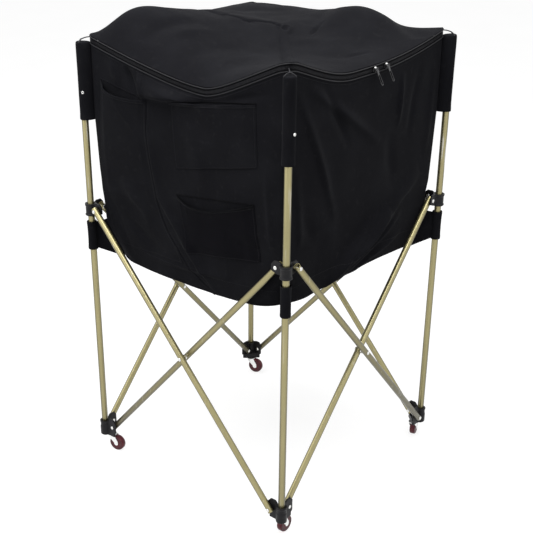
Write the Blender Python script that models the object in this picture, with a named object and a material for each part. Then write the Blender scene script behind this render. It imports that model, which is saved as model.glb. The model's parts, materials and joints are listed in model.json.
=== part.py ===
"""A folding ball cart: four tube legs on casters, a scissor pair of tubes on each side, and a zipped fabric bag.

Metres, +Z up. The origin is on the floor, midway between the legs. The front face looks along -Y and the
right face along +X. Side pieces are worked out for the front face and turned to the other three.
"""

import math

import bmesh
import bpy
from mathutils import Matrix, Vector

for old in list(bpy.data.objects):
    bpy.data.objects.remove(old, do_unlink=True)

# Legs and tubes
LEG_SPACING = 0.600
LEG_DIAMETER = 0.016
LEG_TOP_Z = 1.070
TUBE_DIAMETER = 0.015
TUBE_WALL = 0.0012
TUBE_END = 0.008
ROUND_SIDES = 16
FINE_SIDES = 10

# Pins, rivets and fits
PIN_OFFSET = 0.028
HIGH_PIN_Z = 0.681
PIN_RADIUS = 0.0025
RIVET_HEAD_RADIUS = 0.0046
RIVET_HEAD = 0.0014
FIT = 0.0003
FREE_FIT = 0.0004
SLIVER = 0.00002

# Hubs
EAR_THICKNESS = 0.0045
EAR_REACH = 0.039
BOSS_WALL = 0.0048
FOOT_BASE = 0.0105
FOOT_PIN = 0.028
FOOT_PLATE = 0.015
FOOT_SOCKET = 0.043
FOOT_EAR = 0.052
SLIDE_HEIGHT = 0.030
SLIDE_DROP = 0.003

# Casters
CASTER_INSET = 0.0125
WHEEL_RADIUS = 0.021
WHEEL_WIDTH = 0.0145
WHEEL_SIDES = 24
AXLE_RADIUS = 0.0024
TRAIL = 0.0155
FORK_PLATE = 0.0016
SWIVEL_PLATE_RADIUS = 0.0125
SWIVEL_PLATE = 0.002
STEM_RADIUS = 0.004
STEM_LENGTH = 0.012
TRAIL_ANGLE = {"front_left": 12, "front_right": 92, "back_right": 108, "back_left": 14}

# Bag walls
FABRIC = 0.0025
WALL_BOTTOM_Z = 0.570
WALL_UPRIGHT_Z = 0.900
TOP_INSET = 0.012
RIM_Z = 1.090
BAND_HEIGHT = 0.017
BAND_PROUD = 0.0008
SEAM_GAP = 0.0007
RIM_STEPS = 12
WALL_ROW_Z = 0.76
UPPER_ROW_Z = 0.98
CORNER_RADIUS = 0.10
# Each side's rim dips by "dip" at "low", a place along the side, and its bottom hangs or is lifted by "hang".
SIDES = {
    "front": {"turn": 0, "dip": 0.066, "low": 0.070, "power": 1.25, "hang": 0.016},
    "right": {"turn": 90, "dip": 0.038, "low": -0.050, "power": 1.9, "hang": -0.016},
    "back": {"turn": 180, "dip": 0.020, "low": 0.0, "power": 2.0, "hang": 0.012},
    "left": {"turn": 270, "dip": 0.020, "low": 0.0, "power": 2.0, "hang": 0.012},
}

# Lid and floor
LID_THICKNESS = 0.003
LID_DOME = 0.072
LID_LOBE = 0.034
LOBES = ((-0.135, -0.095, 0.15), (0.125, 0.150, 0.15))
FLOOR_LIFT = 0.004
FLOOR_SAG = 0.010

# Sleeves round the legs
SLEEVE_LOW_Z = (0.576, 0.648)
SLEEVE_HIGH_Z = (0.898, 1.076)
SLEEVE_LOW_RADIUS = 0.0118
SLEEVE_HIGH_OUT = 0.011
SLEEVE_HIGH_ACROSS = 0.0138
WEB_THICKNESS = 0.0025

# Pockets on the front wall
POCKET_DEPTH = 0.0115
POCKET_CLOTH = 0.0018
# Each pocket's sides, in from the wall's left corner, then the heights of its base and mouth at those sides.
POCKETS = {
    "pocket_large": {"sides": (0.026, 0.180), "base": (0.705, 0.705), "mouth": (0.990, 0.963)},
    "pocket_upper": {"sides": (0.268, 0.503), "base": (0.834, 0.883), "mouth": (0.975, 1.012)},
    "pocket_mesh": {"sides": (0.269, 0.488), "base": (0.631, 0.668), "mouth": (0.770, 0.797)},
}

# Zip sliders and pulls
SLIDER_PLACES = {"near": 0.003, "far": 0.045}
SLIDER_LENGTH = 0.013
SLIDER_DEPTH = 0.0042
SLIDER_HEIGHT = 0.009
LUG = 0.0018
BAR_RADIUS = 0.0009
BAR_REACH = 0.0034
PULL_LENGTH = 0.040
PULL_WIDTH = 0.0078
PULL_THICKNESS = 0.0018
PULL_HANG = 28

WHEEL_CORNER = WHEEL_RADIUS / math.cos(math.pi / WHEEL_SIDES)
FOOT_BOTTOM_Z = WHEEL_RADIUS + WHEEL_CORNER + SWIVEL_PLATE + 2 * FREE_FIT
LEG_BOTTOM_Z = FOOT_BOTTOM_Z + FOOT_BASE
LOW_PIN_Z = FOOT_BOTTOM_Z + FOOT_PIN
HALF = LEG_SPACING / 2
LEG_RADIUS = LEG_DIAMETER / 2
TUBE_RADIUS = TUBE_DIAMETER / 2
TUBE_OFFSET = EAR_THICKNESS / 2 + FIT + TUBE_RADIUS
PIN_SPAN = LEG_SPACING - 2 * PIN_OFFSET
PIN_RISE = HIGH_PIN_Z - LOW_PIN_Z
TUBE_LENGTH = math.hypot(PIN_SPAN, PIN_RISE)
TUBE_TILT = math.atan2(PIN_SPAN, PIN_RISE)
BOSS_RADIUS = LEG_RADIUS + FIT + BOSS_WALL
# The walls lean in just enough to clear the rivets at the slide hubs.
PIN_INSET = TUBE_OFFSET + TUBE_RADIUS + RIVET_HEAD + FREE_FIT
LEAN = (PIN_INSET - TOP_INSET) / (WALL_UPRIGHT_Z - HIGH_PIN_Z)
RIM_HALF = HALF - TOP_INSET
WALL_TOP_Z = RIM_Z - BAND_HEIGHT - SEAM_GAP

# Each leg stands at a corner. Its hubs are made for the front right corner and turned.
LEGS = {
    "front_left": {"at": (-HALF, -HALF), "turn": -90},
    "front_right": {"at": (HALF, -HALF), "turn": 0},
    "back_right": {"at": (HALF, HALF), "turn": 90},
    "back_left": {"at": (-HALF, HALF), "turn": 180},
}


def finish(name, colour, roughness, metallic=0.0):
    made = bpy.data.materials.new(name)
    made.use_nodes = True
    shader = made.node_tree.nodes["Principled BSDF"]
    shader.inputs["Base Color"].default_value = (*colour, 1.0)
    shader.inputs["Roughness"].default_value = roughness
    shader.inputs["Metallic"].default_value = metallic
    made.diffuse_color = (*colour, 1.0)
    return made


TUBE_METAL = finish("champagne_tube", (0.42, 0.37, 0.24), 0.35, 0.8)
HUB_PLASTIC = finish("charcoal_plastic", (0.03, 0.03, 0.033), 0.5)
ZINC = finish("bright_zinc", (0.75, 0.76, 0.74), 0.3, 0.9)
TREAD = finish("maroon_tread", (0.18, 0.03, 0.04), 0.45)
BAG_CLOTH = finish("black_cloth", (0.012, 0.012, 0.015), 0.85)
MESH_CLOTH = finish("black_mesh", (0.02, 0.02, 0.022), 0.8)
ZIP_TAPE = finish("black_zip", (0.02, 0.02, 0.022), 0.6)
PULL_METAL = finish("black_pull", (0.05, 0.05, 0.055), 0.3, 0.7)


def place(name, shape, material, at=(0, 0, 0), turn=0.0, parent=None):
    """An object from a bmesh or a mesh, turned about its own Z and stood at a point."""
    if isinstance(shape, bmesh.types.BMesh):
        mesh = bpy.data.meshes.new(name)
        bmesh.ops.recalc_face_normals(shape, faces=shape.faces)
        shape.to_mesh(mesh)
        shape.free()
    else:
        mesh = shape
    if not mesh.materials:
        mesh.materials.append(material)
    made = bpy.data.objects.new(name, mesh)
    bpy.context.scene.collection.objects.link(made)
    made.location = at
    made.rotation_euler = (0, 0, math.radians(turn))
    if parent:
        made.parent = parent
    return made


def smooth(mesh, angle=40):
    mesh.shade_smooth()
    mesh.set_sharp_from_angle(angle=math.radians(angle))
    return mesh


def hidden(tool):
    tool.hide_render = True
    tool.display_type = "WIRE"
    return tool


def combined(name, base, material, joined=(), cut=()):
    """The mesh of a base shape with others joined to it and then others cut from it."""
    body = hidden(place(f"{name}_base", base, material))
    tools = [(shape, "UNION") for shape in joined] + [(shape, "DIFFERENCE") for shape in cut]
    for number, (shape, operation) in enumerate(tools):
        tool = hidden(place(f"{name}_tool_{number}", shape, material))
        step = body.modifiers.new(f"{operation.lower()}_{number}", "BOOLEAN")
        step.operation = operation
        step.solver = "EXACT"
        step.object = tool
    bpy.context.view_layer.update()
    ready = body.evaluated_get(bpy.context.evaluated_depsgraph_get())
    mesh = bpy.data.meshes.new_from_object(ready)
    mesh.name = name
    tidy = bmesh.new()
    tidy.from_mesh(mesh)
    bmesh.ops.remove_doubles(tidy, verts=tidy.verts, dist=SLIVER)
    bmesh.ops.dissolve_degenerate(tidy, edges=tidy.edges, dist=SLIVER)
    tidy.to_mesh(mesh)
    tidy.free()
    return smooth(mesh)


def turned(profile, sides, axis="Z", centre=(0, 0, 0), phase=0.0):
    """A closed profile of (radius, height) points, turned about an axis through a centre."""
    shape = bmesh.new()
    rings = []
    for radius, height in profile:
        ring = []
        for step in range(sides):
            angle = 2 * math.pi * (step + phase) / sides
            ring.append(shape.verts.new((radius * math.cos(angle), radius * math.sin(angle), height)))
        rings.append(ring)
    for inner, outer in zip(rings, rings[1:] + rings[:1]):
        for step in range(sides):
            following = (step + 1) % sides
            shape.faces.new((inner[step], inner[following], outer[following], outer[step]))
    stand = {"X": Matrix.Rotation(math.pi / 2, 4, "Y"), "Y": Matrix.Rotation(-math.pi / 2, 4, "X")}
    bmesh.ops.transform(shape, matrix=stand.get(axis, Matrix.Identity(4)), verts=shape.verts)
    bmesh.ops.translate(shape, vec=centre, verts=shape.verts)
    return shape


def rod(radius, low, high, sides, axis="Z", centre=(0, 0, 0)):
    """A solid round bar from low to high along an axis through a centre."""
    shape = bmesh.new()
    bmesh.ops.create_cone(
        shape, cap_ends=True, segments=sides, radius1=radius, radius2=radius, depth=high - low
    )
    bmesh.ops.translate(shape, vec=(0, 0, (low + high) / 2), verts=shape.verts)
    stand = {"X": Matrix.Rotation(math.pi / 2, 4, "Y"), "Y": Matrix.Rotation(-math.pi / 2, 4, "X")}
    bmesh.ops.transform(shape, matrix=stand.get(axis, Matrix.Identity(4)), verts=shape.verts)
    bmesh.ops.translate(shape, vec=centre, verts=shape.verts)
    return shape


def pipe(radius, wall, low, high, sides):
    """A round tube along Z, with a flat of its surface facing each way along Y."""
    walls = [(radius - wall, low), (radius, low), (radius, high), (radius - wall, high)]
    return turned(walls, sides, phase=0.5)


def loft(rings):
    """A closed body through rings of points, with the first and last rings filled."""
    shape = bmesh.new()
    made = [[shape.verts.new(point) for point in ring] for ring in rings]
    shape.faces.new(made[0])
    shape.faces.new(made[-1])
    for lower, upper in zip(made, made[1:]):
        for step in range(len(lower)):
            following = (step + 1) % len(lower)
            shape.faces.new((lower[step], lower[following], upper[following], upper[step]))
    return shape


def slab(outline, low, high, plane="XY", high_scale=1.0):
    """An outline of flat points, given a thickness from low to high across its plane."""
    middle = Vector((sum(p[0] for p in outline), sum(p[1] for p in outline))) / len(outline)
    rings = []
    for level, scale in ((low, 1.0), (high, high_scale)):
        flat = [middle + (Vector(point) - middle) * scale for point in outline]
        if plane == "XY":
            rings.append([(p.x, p.y, level) for p in flat])
        elif plane == "XZ":
            rings.append([(p.x, level, p.y) for p in flat])
        else:
            rings.append([(level, p.x, p.y) for p in flat])
    return loft(rings)


def box(low, high):
    return slab([(low[0], low[1]), (high[0], low[1]), (high[0], high[1]), (low[0], high[1])], low[2], high[2])


def double_grid(outer, inner):
    """A closed sheet between two grids of points with the same rows and columns."""
    shape = bmesh.new()
    layers = [[[shape.verts.new(p) for p in row] for row in grid] for grid in (outer, inner)]
    rows, columns = len(outer), len(outer[0])
    for layer in layers:
        for r in range(rows - 1):
            for c in range(columns - 1):
                shape.faces.new((layer[r][c], layer[r][c + 1], layer[r + 1][c + 1], layer[r + 1][c]))
    edge = [(0, c) for c in range(columns)] + [(r, columns - 1) for r in range(1, rows)]
    edge += [(rows - 1, c) for c in range(columns - 2, -1, -1)] + [(r, 0) for r in range(rows - 2, 0, -1)]
    for (r1, c1), (r2, c2) in zip(edge, edge[1:] + edge[:1]):
        shape.faces.new((layers[0][r1][c1], layers[0][r2][c2], layers[1][r2][c2], layers[1][r1][c1]))
    return shape


def make_legs():
    mesh = smooth_pipe("leg_tube", LEG_RADIUS, LEG_BOTTOM_Z, LEG_TOP_Z)
    for corner, leg in LEGS.items():
        place(f"leg_{corner}", mesh, TUBE_METAL, (*leg["at"], 0))


def smooth_pipe(name, radius, low, high):
    mesh = bpy.data.meshes.new(name)
    shape = pipe(radius, TUBE_WALL, low, high, ROUND_SIDES)
    bmesh.ops.recalc_face_normals(shape, faces=shape.faces)
    shape.to_mesh(mesh)
    shape.free()
    return smooth(mesh)


def ear_outline(tip_low, tip_high, root_low, root_high):
    """An ear's outline in its own plane: distance from the leg, then height."""
    reach = EAR_REACH
    return [
        (LEG_RADIUS, root_low),
        (PIN_OFFSET - 0.004, root_low + 0.1 * (tip_low - root_low)),
        (reach, tip_low),
        (reach, tip_high - 0.008),
        (reach - 0.007, tip_high),
        (PIN_OFFSET - 0.010, tip_high),
        (LEG_RADIUS, root_high),
    ]


def ears(outline):
    """The two ears of a hub at the front right corner: one along -X, one along +Y."""
    half = EAR_THICKNESS / 2
    return [
        slab([(-along, z) for along, z in outline], -half, half, "XZ"),
        slab(outline, -half, half, "YZ"),
    ]


def pin_holes(z):
    reach = EAR_THICKNESS
    radius = (PIN_RADIUS + FIT) / math.cos(math.pi / FINE_SIDES)
    return [
        rod(radius, -reach, reach, FINE_SIDES, "Y", (-PIN_OFFSET, 0, z)),
        rod(radius, -reach, reach, FINE_SIDES, "X", (0, PIN_OFFSET, z)),
    ]


def make_foot_hubs():
    low = FOOT_BOTTOM_Z
    outline = ear_outline(low + FOOT_PLATE, low + FOOT_EAR, low, low + FOOT_SOCKET)
    half = EAR_THICKNESS / 2
    arm = EAR_REACH - 0.005
    plate = [(half, -half), (half, arm), (-half, arm), (-arm, half), (-arm, -half)]
    stem = (-CASTER_INSET, CASTER_INSET, 0)
    stem_top = low + STEM_LENGTH + FIT
    leg_hole = (LEG_RADIUS + FIT) / math.cos(math.pi / ROUND_SIDES)
    stem_hole = (STEM_RADIUS + FREE_FIT) / math.cos(math.pi / FINE_SIDES)
    mesh = combined(
        "foot_hub",
        rod(BOSS_RADIUS, low, low + FOOT_SOCKET, ROUND_SIDES),
        HUB_PLASTIC,
        joined=ears(outline) + [slab(plate, low + FOOT_PLATE, low, high_scale=0.62)],
        cut=[
            rod(leg_hole, LEG_BOTTOM_Z - FIT, low + FOOT_SOCKET + 0.01, ROUND_SIDES),
            rod(stem_hole, low - 0.01, stem_top, FINE_SIDES, "Z", stem),
            *pin_holes(LOW_PIN_Z),
        ],
    )
    for corner, leg in LEGS.items():
        place(f"foot_hub_{corner}", mesh, HUB_PLASTIC, (*leg["at"], 0), leg["turn"])


def make_slide_hubs():
    low = -SLIDE_HEIGHT / 2 - SLIDE_DROP
    high = low + SLIDE_HEIGHT
    outline = ear_outline(low + 0.010, high + 0.003, low + 0.004, high - 0.003)
    hole = (LEG_RADIUS + FREE_FIT) / math.cos(math.pi / ROUND_SIDES)
    mesh = combined(
        "slide_hub",
        rod(BOSS_RADIUS + 0.001, low, high, ROUND_SIDES),
        HUB_PLASTIC,
        joined=ears(outline),
        cut=[rod(hole, low - 0.01, high + 0.01, ROUND_SIDES), *pin_holes(0)],
    )
    for corner, leg in LEGS.items():
        place(f"slide_hub_{corner}", mesh, HUB_PLASTIC, (*leg["at"], HIGH_PIN_Z), leg["turn"])


def make_tubes():
    """Each scissor tube, along its own Z from its low pin, with its end pins along its own +Y."""
    head_low = -TUBE_RADIUS - RIVET_HEAD
    head_high = TUBE_OFFSET + EAR_THICKNESS / 2 + FIT
    middle_hole = (PIN_RADIUS + FIT) / math.cos(math.pi / FINE_SIDES)
    shape = pipe(TUBE_RADIUS, TUBE_WALL, -TUBE_END, TUBE_LENGTH + TUBE_END, ROUND_SIDES)
    joined = []
    for z in (0, TUBE_LENGTH):
        at = (0, 0, z)
        inside = RIVET_HEAD / 2
        joined.append(rod(PIN_RADIUS, head_low + inside, head_high + inside, FINE_SIDES, "Y", at))
        joined.append(rod(RIVET_HEAD_RADIUS, head_high, head_high + RIVET_HEAD, FINE_SIDES, "Y", at))
        joined.append(rod(RIVET_HEAD_RADIUS, head_low, head_low + 1.5 * RIVET_HEAD, FINE_SIDES, "Y", at))
    centre_hole = rod(middle_hole, -TUBE_DIAMETER, TUBE_DIAMETER, FINE_SIDES, "Y", (0, 0, TUBE_LENGTH / 2))
    mesh = combined("scissor_tube", shape, TUBE_METAL, joined, [centre_hole])
    for side, values in SIDES.items():
        turn = Matrix.Rotation(math.radians(values["turn"]), 4, "Z")
        for layer in ("outer", "inner"):
            made = place(f"tube_{side}_{layer}", mesh, TUBE_METAL)
            start = 1 if layer == "outer" else -1
            stand = Matrix.Translation((start * PIN_SPAN / 2, -HALF - start * TUBE_OFFSET, LOW_PIN_Z))
            lean = Matrix.Rotation(-start * TUBE_TILT, 4, "Y")
            face = Matrix.Rotation(0 if layer == "outer" else math.pi, 4, "Z")
            made.matrix_world = turn @ stand @ lean @ face
    half_gap = TUBE_OFFSET - TUBE_RADIUS - FREE_FIT
    reach = TUBE_OFFSET + TUBE_RADIUS + FREE_FIT
    rivet = combined(
        "centre_rivet",
        rod(PIN_RADIUS, -reach - RIVET_HEAD / 2, reach + RIVET_HEAD / 2, FINE_SIDES, "Y"),
        ZINC,
        joined=[
            rod(RIVET_HEAD_RADIUS, -half_gap, half_gap, FINE_SIDES, "Y"),
            rod(RIVET_HEAD_RADIUS, reach, reach + RIVET_HEAD, FINE_SIDES, "Y"),
            rod(RIVET_HEAD_RADIUS, -reach - RIVET_HEAD, -reach, FINE_SIDES, "Y"),
        ],
    )
    for side, values in SIDES.items():
        turn = Matrix.Rotation(math.radians(values["turn"]), 4, "Z")
        made = place(f"rivet_{side}", rivet, ZINC)
        made.matrix_world = turn @ Matrix.Translation((0, -HALF, LOW_PIN_Z + PIN_RISE / 2))


def make_casters():
    """Each caster, made with its swivel axis on its own Z and its wheel trailing along its own +X."""
    plate_top = FOOT_BOTTOM_Z - FREE_FIT
    plate_low = plate_top - SWIVEL_PLATE
    near = WHEEL_WIDTH / 2 + FREE_FIT
    far = near + FORK_PLATE
    cheek = [
        (-SWIVEL_PLATE_RADIUS + 0.003, plate_low + SWIVEL_PLATE / 2),
        (SWIVEL_PLATE_RADIUS - 0.002, plate_low + SWIVEL_PLATE / 2),
        (TRAIL + 0.0065, WHEEL_RADIUS + 0.004),
        (TRAIL + 0.0045, WHEEL_RADIUS - 0.0045),
        (TRAIL - 0.0045, WHEEL_RADIUS - 0.0045),
    ]
    axle = (TRAIL, 0, WHEEL_RADIUS)
    cheeks = [
        slab(cheek, near, far, "XZ"),
        slab(cheek, -far, -near, "XZ"),
        rod(AXLE_RADIUS, -far - 0.001, far + 0.001, FINE_SIDES, "Y", axle),
        rod(STEM_RADIUS, plate_top - SWIVEL_PLATE / 2, plate_top + STEM_LENGTH, FINE_SIDES),
    ]
    fork = combined(
        "caster_fork", rod(SWIVEL_PLATE_RADIUS, plate_low, plate_top, ROUND_SIDES), ZINC, joined=cheeks
    )
    half = WHEEL_WIDTH / 2
    bore = (AXLE_RADIUS + FIT) / math.cos(math.pi / WHEEL_SIDES)
    profile = [
        (bore, -half),
        (0.55 * WHEEL_RADIUS, -half + 0.0010),
        (0.75 * WHEEL_RADIUS, -half),
        (WHEEL_CORNER - 0.0022, -half),
        (WHEEL_CORNER, -half + 0.0022),
        (WHEEL_CORNER, half - 0.0022),
        (WHEEL_CORNER - 0.0022, half),
        (0.75 * WHEEL_RADIUS, half),
        (0.55 * WHEEL_RADIUS, half - 0.0010),
        (bore, half),
    ]
    wheel_mesh = bpy.data.meshes.new("caster_wheel")
    wheel = turned(profile, WHEEL_SIDES, "Y", (0, 0, 0), 0.5)
    bmesh.ops.recalc_face_normals(wheel, faces=wheel.faces)
    wheel.to_mesh(wheel_mesh)
    wheel.free()
    smooth(wheel_mesh, 30)
    for corner, leg in LEGS.items():
        x, y = (value - math.copysign(CASTER_INSET, value) for value in leg["at"])
        angle = TRAIL_ANGLE[corner]
        place(f"caster_fork_{corner}", fork, ZINC, (x, y, 0), angle)
        ahead = Matrix.Rotation(math.radians(angle), 2) @ Vector((TRAIL, 0))
        place(f"wheel_{corner}", wheel_mesh, TREAD, (x + ahead.x, y + ahead.y, WHEEL_RADIUS), angle)


def rim_height(side, s):
    """How high a side's wall cloth ends at a place along it."""
    values = SIDES[side]
    span = RIM_HALF - values["low"] if s > values["low"] else RIM_HALF + values["low"]
    share = min(1.0, abs(s - values["low"]) / span)
    return WALL_TOP_Z - values["dip"] * (1 - share ** values["power"])


def hem_height(side, s):
    """How high a side's bottom edge is at a place along it."""
    return WALL_BOTTOM_Z - SIDES[side]["hang"] * (1 - (s / RIM_HALF) ** 2)


def wall_distance(z):
    """How far a wall's outer face is from the middle of the cart."""
    below = WALL_UPRIGHT_Z - max(WALL_BOTTOM_Z, min(WALL_UPRIGHT_Z, z))
    return RIM_HALF - LEAN * below


def drawn_in(x, y, z, lift=0.0):
    """A point of the bag, moved in where its lowest corners are rounded in plan, as the cloth a lift below it is."""
    share = (SLEEVE_LOW_Z[1] - z + lift) / (SLEEVE_LOW_Z[1] - WALL_BOTTOM_Z)
    radius = CORNER_RADIUS * max(0.0, min(1.0, share))
    start = wall_distance(z) - radius
    past_x = abs(x) - start
    past_y = abs(y) - start
    if min(past_x, past_y, radius) <= 0:
        return Vector((x, y, z))
    scale = max(past_x, past_y) / math.hypot(past_x, past_y)
    return Vector((math.copysign(start + past_x * scale, x), math.copysign(start + past_y * scale, y), z))


def inner_columns():
    step = 2 * RIM_HALF / RIM_STEPS
    return [step * (number - RIM_STEPS / 2) for number in range(1, RIM_STEPS)]


def turned_point(side, s, distance, z):
    """A point at a place along a side, at a distance out from the middle."""
    turn = Matrix.Rotation(math.radians(SIDES[side]["turn"]), 4, "Z")
    return turn @ drawn_in(s, -distance, z)


def sheet_on_side(side, rows, proud=0.0):
    """A closed sheet on a side. Each row gives a height for a place along the side."""
    corner_cut = 0.0 if side in ("front", "back") else FABRIC + FREE_FIT
    grids = []
    for depth in (-proud, FABRIC):
        grid = []
        for row in rows:
            end = wall_distance(row(RIM_HALF)) + (proud if not corner_cut else 0.0) - corner_cut
            columns = [-end, *inner_columns(), end]
            line = []
            for s in columns:
                z = row(s)
                line.append(turned_point(side, s, wall_distance(z) - depth, z))
            grid.append(line)
        grids.append(grid)
    return double_grid(*grids)


def make_walls():
    for side in SIDES:
        rows = [lambda s, side=side: hem_height(side, s)]
        rows += [lambda s, z=z: z for z in (SLEEVE_LOW_Z[1], WALL_ROW_Z, WALL_UPRIGHT_Z, UPPER_ROW_Z)]
        rows += [lambda s, side=side: rim_height(side, s)]
        place(f"bag_{side}", sheet_on_side(side, rows), BAG_CLOTH)
        band = [
            lambda s, side=side: rim_height(side, s) + SEAM_GAP,
            lambda s, side=side: rim_height(side, s) + SEAM_GAP + BAND_HEIGHT - 2 * SEAM_GAP,
        ]
        name = "lid_seam" if side == "left" else f"zip_{side}"
        place(name, sheet_on_side(side, band, BAND_PROUD), ZIP_TAPE)


def quilt(heights, x, y, half):
    """A smooth patch between four edge curves, given as heights along the front, right, back and left."""
    front, right, back, left = heights
    u = (x + half) / (2 * half)
    v = (y + half) / (2 * half)
    along_y = (1 - v) * front(x) + v * back(-x)
    along_x = (1 - u) * left(-y) + u * right(y)
    return along_y + along_x - front(-half)


def lid_height(x, y):
    edges = [lambda s, side=side: rim_height(side, s) + BAND_HEIGHT for side in SIDES]
    rise = LID_DOME * (1 - abs(x / RIM_HALF) ** 3) * (1 - abs(y / RIM_HALF) ** 3)
    for cx, cy, width in LOBES:
        away = ((x - cx) ** 2 + (y - cy) ** 2) / width**2
        rise += LID_LOBE * math.exp(-away) * (1 - (x / RIM_HALF) ** 4) * (1 - (y / RIM_HALF) ** 4)
    return quilt(edges, x, y, RIM_HALF) + rise


def floor_height(x, y):
    edges = [lambda s, side=side: hem_height(side, s) + FLOOR_LIFT for side in SIDES]
    drop = FLOOR_SAG * (1 - (x / RIM_HALF) ** 2) * (1 - (y / RIM_HALF) ** 2)
    return quilt(edges, x, y, RIM_HALF) - drop


def level(value, edge):
    """A place inside an edge, or the rim's own place when it is on the edge's flat margin."""
    return math.copysign(RIM_HALF, value) if abs(value) > edge - 2.5 * FABRIC else value


def half_sheet(height, edge, x_lines, y_lines):
    """A closed sheet over a grid of places, level across a narrow margin at its edge."""
    layers = []
    for lift in (LID_THICKNESS, 0.0):
        layer = []
        for y in y_lines:
            heights = [height(level(x, edge), level(y, edge)) + lift for x in x_lines]
            layer.append([drawn_in(x, y, z, FLOOR_LIFT + lift) for x, z in zip(x_lines, heights)])
        layers.append(layer)
    return double_grid(*layers)


def make_lid_and_floor():
    floor_edge = wall_distance(WALL_BOTTOM_Z) - FABRIC - FREE_FIT
    for name, height, edge in (("lid", lid_height, RIM_HALF), ("bag_floor", floor_height, floor_edge)):
        before = [-edge, -edge + 2 * FABRIC, *[s for s in inner_columns() if s < -0.001]]
        y_lines = [*before, 0.0, *[-y for y in reversed(before)]]
        left_lines = [*before, -FREE_FIT / 2]
        right_lines = [-x for x in reversed(left_lines)]
        place(f"{name}_left", half_sheet(height, edge, left_lines, y_lines), BAG_CLOTH)
        place(f"{name}_right", half_sheet(height, edge, right_lines, y_lines), BAG_CLOTH)


def across(points, turn):
    """Flat points of a shape made along +X, turned about the leg."""
    spin = Matrix.Rotation(math.radians(turn), 2)
    return [spin @ Vector(point) for point in points]


def make_sleeves():
    """Sleeves round the legs, made for the front right corner, whose bag corner lies at 135 degrees."""
    inward = 135
    leg_hole = (LEG_RADIUS + FIT) / math.cos(math.pi / ROUND_SIDES)
    low, high = SLEEVE_LOW_Z
    hem = min(hem_height(side, wall_distance(WALL_BOTTOM_Z)) for side in SIDES)
    corners = [drawn_in(wall_distance(z), wall_distance(z), z).x for z in (hem, high)]
    share = (low - hem) / (high - hem)
    corners[0] += share * (corners[1] - corners[0])
    reach = [(HALF - corner) * math.sqrt(2) - FREE_FIT for corner in corners]
    half = WEB_THICKNESS / 2
    rings = []
    for z, far in zip((low, high), reach):
        outline = across([(0, -half), (far, -half), (far, half), (0, half)], inward)
        rings.append([(p.x, p.y, z) for p in outline])
    lower = combined(
        "lower_sleeve",
        rod(SLEEVE_LOW_RADIUS, low, high, ROUND_SIDES),
        BAG_CLOTH,
        joined=[loft(rings)],
        cut=[rod(leg_hole, low - 0.01, high + 0.01, ROUND_SIDES)],
    )
    low, high = SLEEVE_HIGH_Z
    bag_side = (TOP_INSET - BAND_PROUD) * math.sqrt(2) - FREE_FIT
    outline = []
    for step in range(ROUND_SIDES):
        angle = 2 * math.pi * (step + 0.5) / ROUND_SIDES
        along = bag_side if math.cos(angle) > 0 else SLEEVE_HIGH_OUT
        outline.append((along * math.cos(angle), SLEEVE_HIGH_ACROSS * math.sin(angle)))
    upper = combined(
        "upper_sleeve",
        slab(across(outline, inward), low, high),
        BAG_CLOTH,
        cut=[rod(leg_hole, low - 0.01, LEG_TOP_Z + FREE_FIT, ROUND_SIDES)],
    )
    for corner, leg in LEGS.items():
        place(f"lower_sleeve_{corner}", lower, BAG_CLOTH, (*leg["at"], 0), leg["turn"])
        place(f"upper_sleeve_{corner}", upper, BAG_CLOTH, (*leg["at"], 0), leg["turn"])


def pouch(values, margin, lift, near, far):
    """A block on the front wall, following its lean, between two distances off its face."""
    left, right = (side + sign * margin - RIM_HALF for side, sign in zip(values["sides"], (1, -1)))
    rows = [[height + margin for height in values["base"]], [height + lift for height in values["mouth"]]]
    if max(values["base"]) < WALL_UPRIGHT_Z < min(values["mouth"]):
        rows.insert(1, [WALL_UPRIGHT_Z, WALL_UPRIGHT_Z])
    rings = []
    for row in rows:
        corners = [(left, row[0], far), (right, row[1], far), (right, row[1], near), (left, row[0], near)]
        rings.append([(x, -wall_distance(z) - off, z) for x, z, off in corners])
    return loft(rings)


def make_pockets():
    """Open-topped pouches on the front wall, each with a front, two sides and a bottom."""
    for name, values in POCKETS.items():
        material = MESH_CLOTH if name == "pocket_mesh" else BAG_CLOTH
        outside = pouch(values, 0, 0, FREE_FIT, FREE_FIT + POCKET_DEPTH + POCKET_CLOTH)
        hollow = pouch(values, POCKET_CLOTH, 0.01, FREE_FIT - 0.01, FREE_FIT + POCKET_DEPTH)
        place(name, combined(f"{name}_pouch", outside, material, cut=[hollow]), material)


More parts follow.
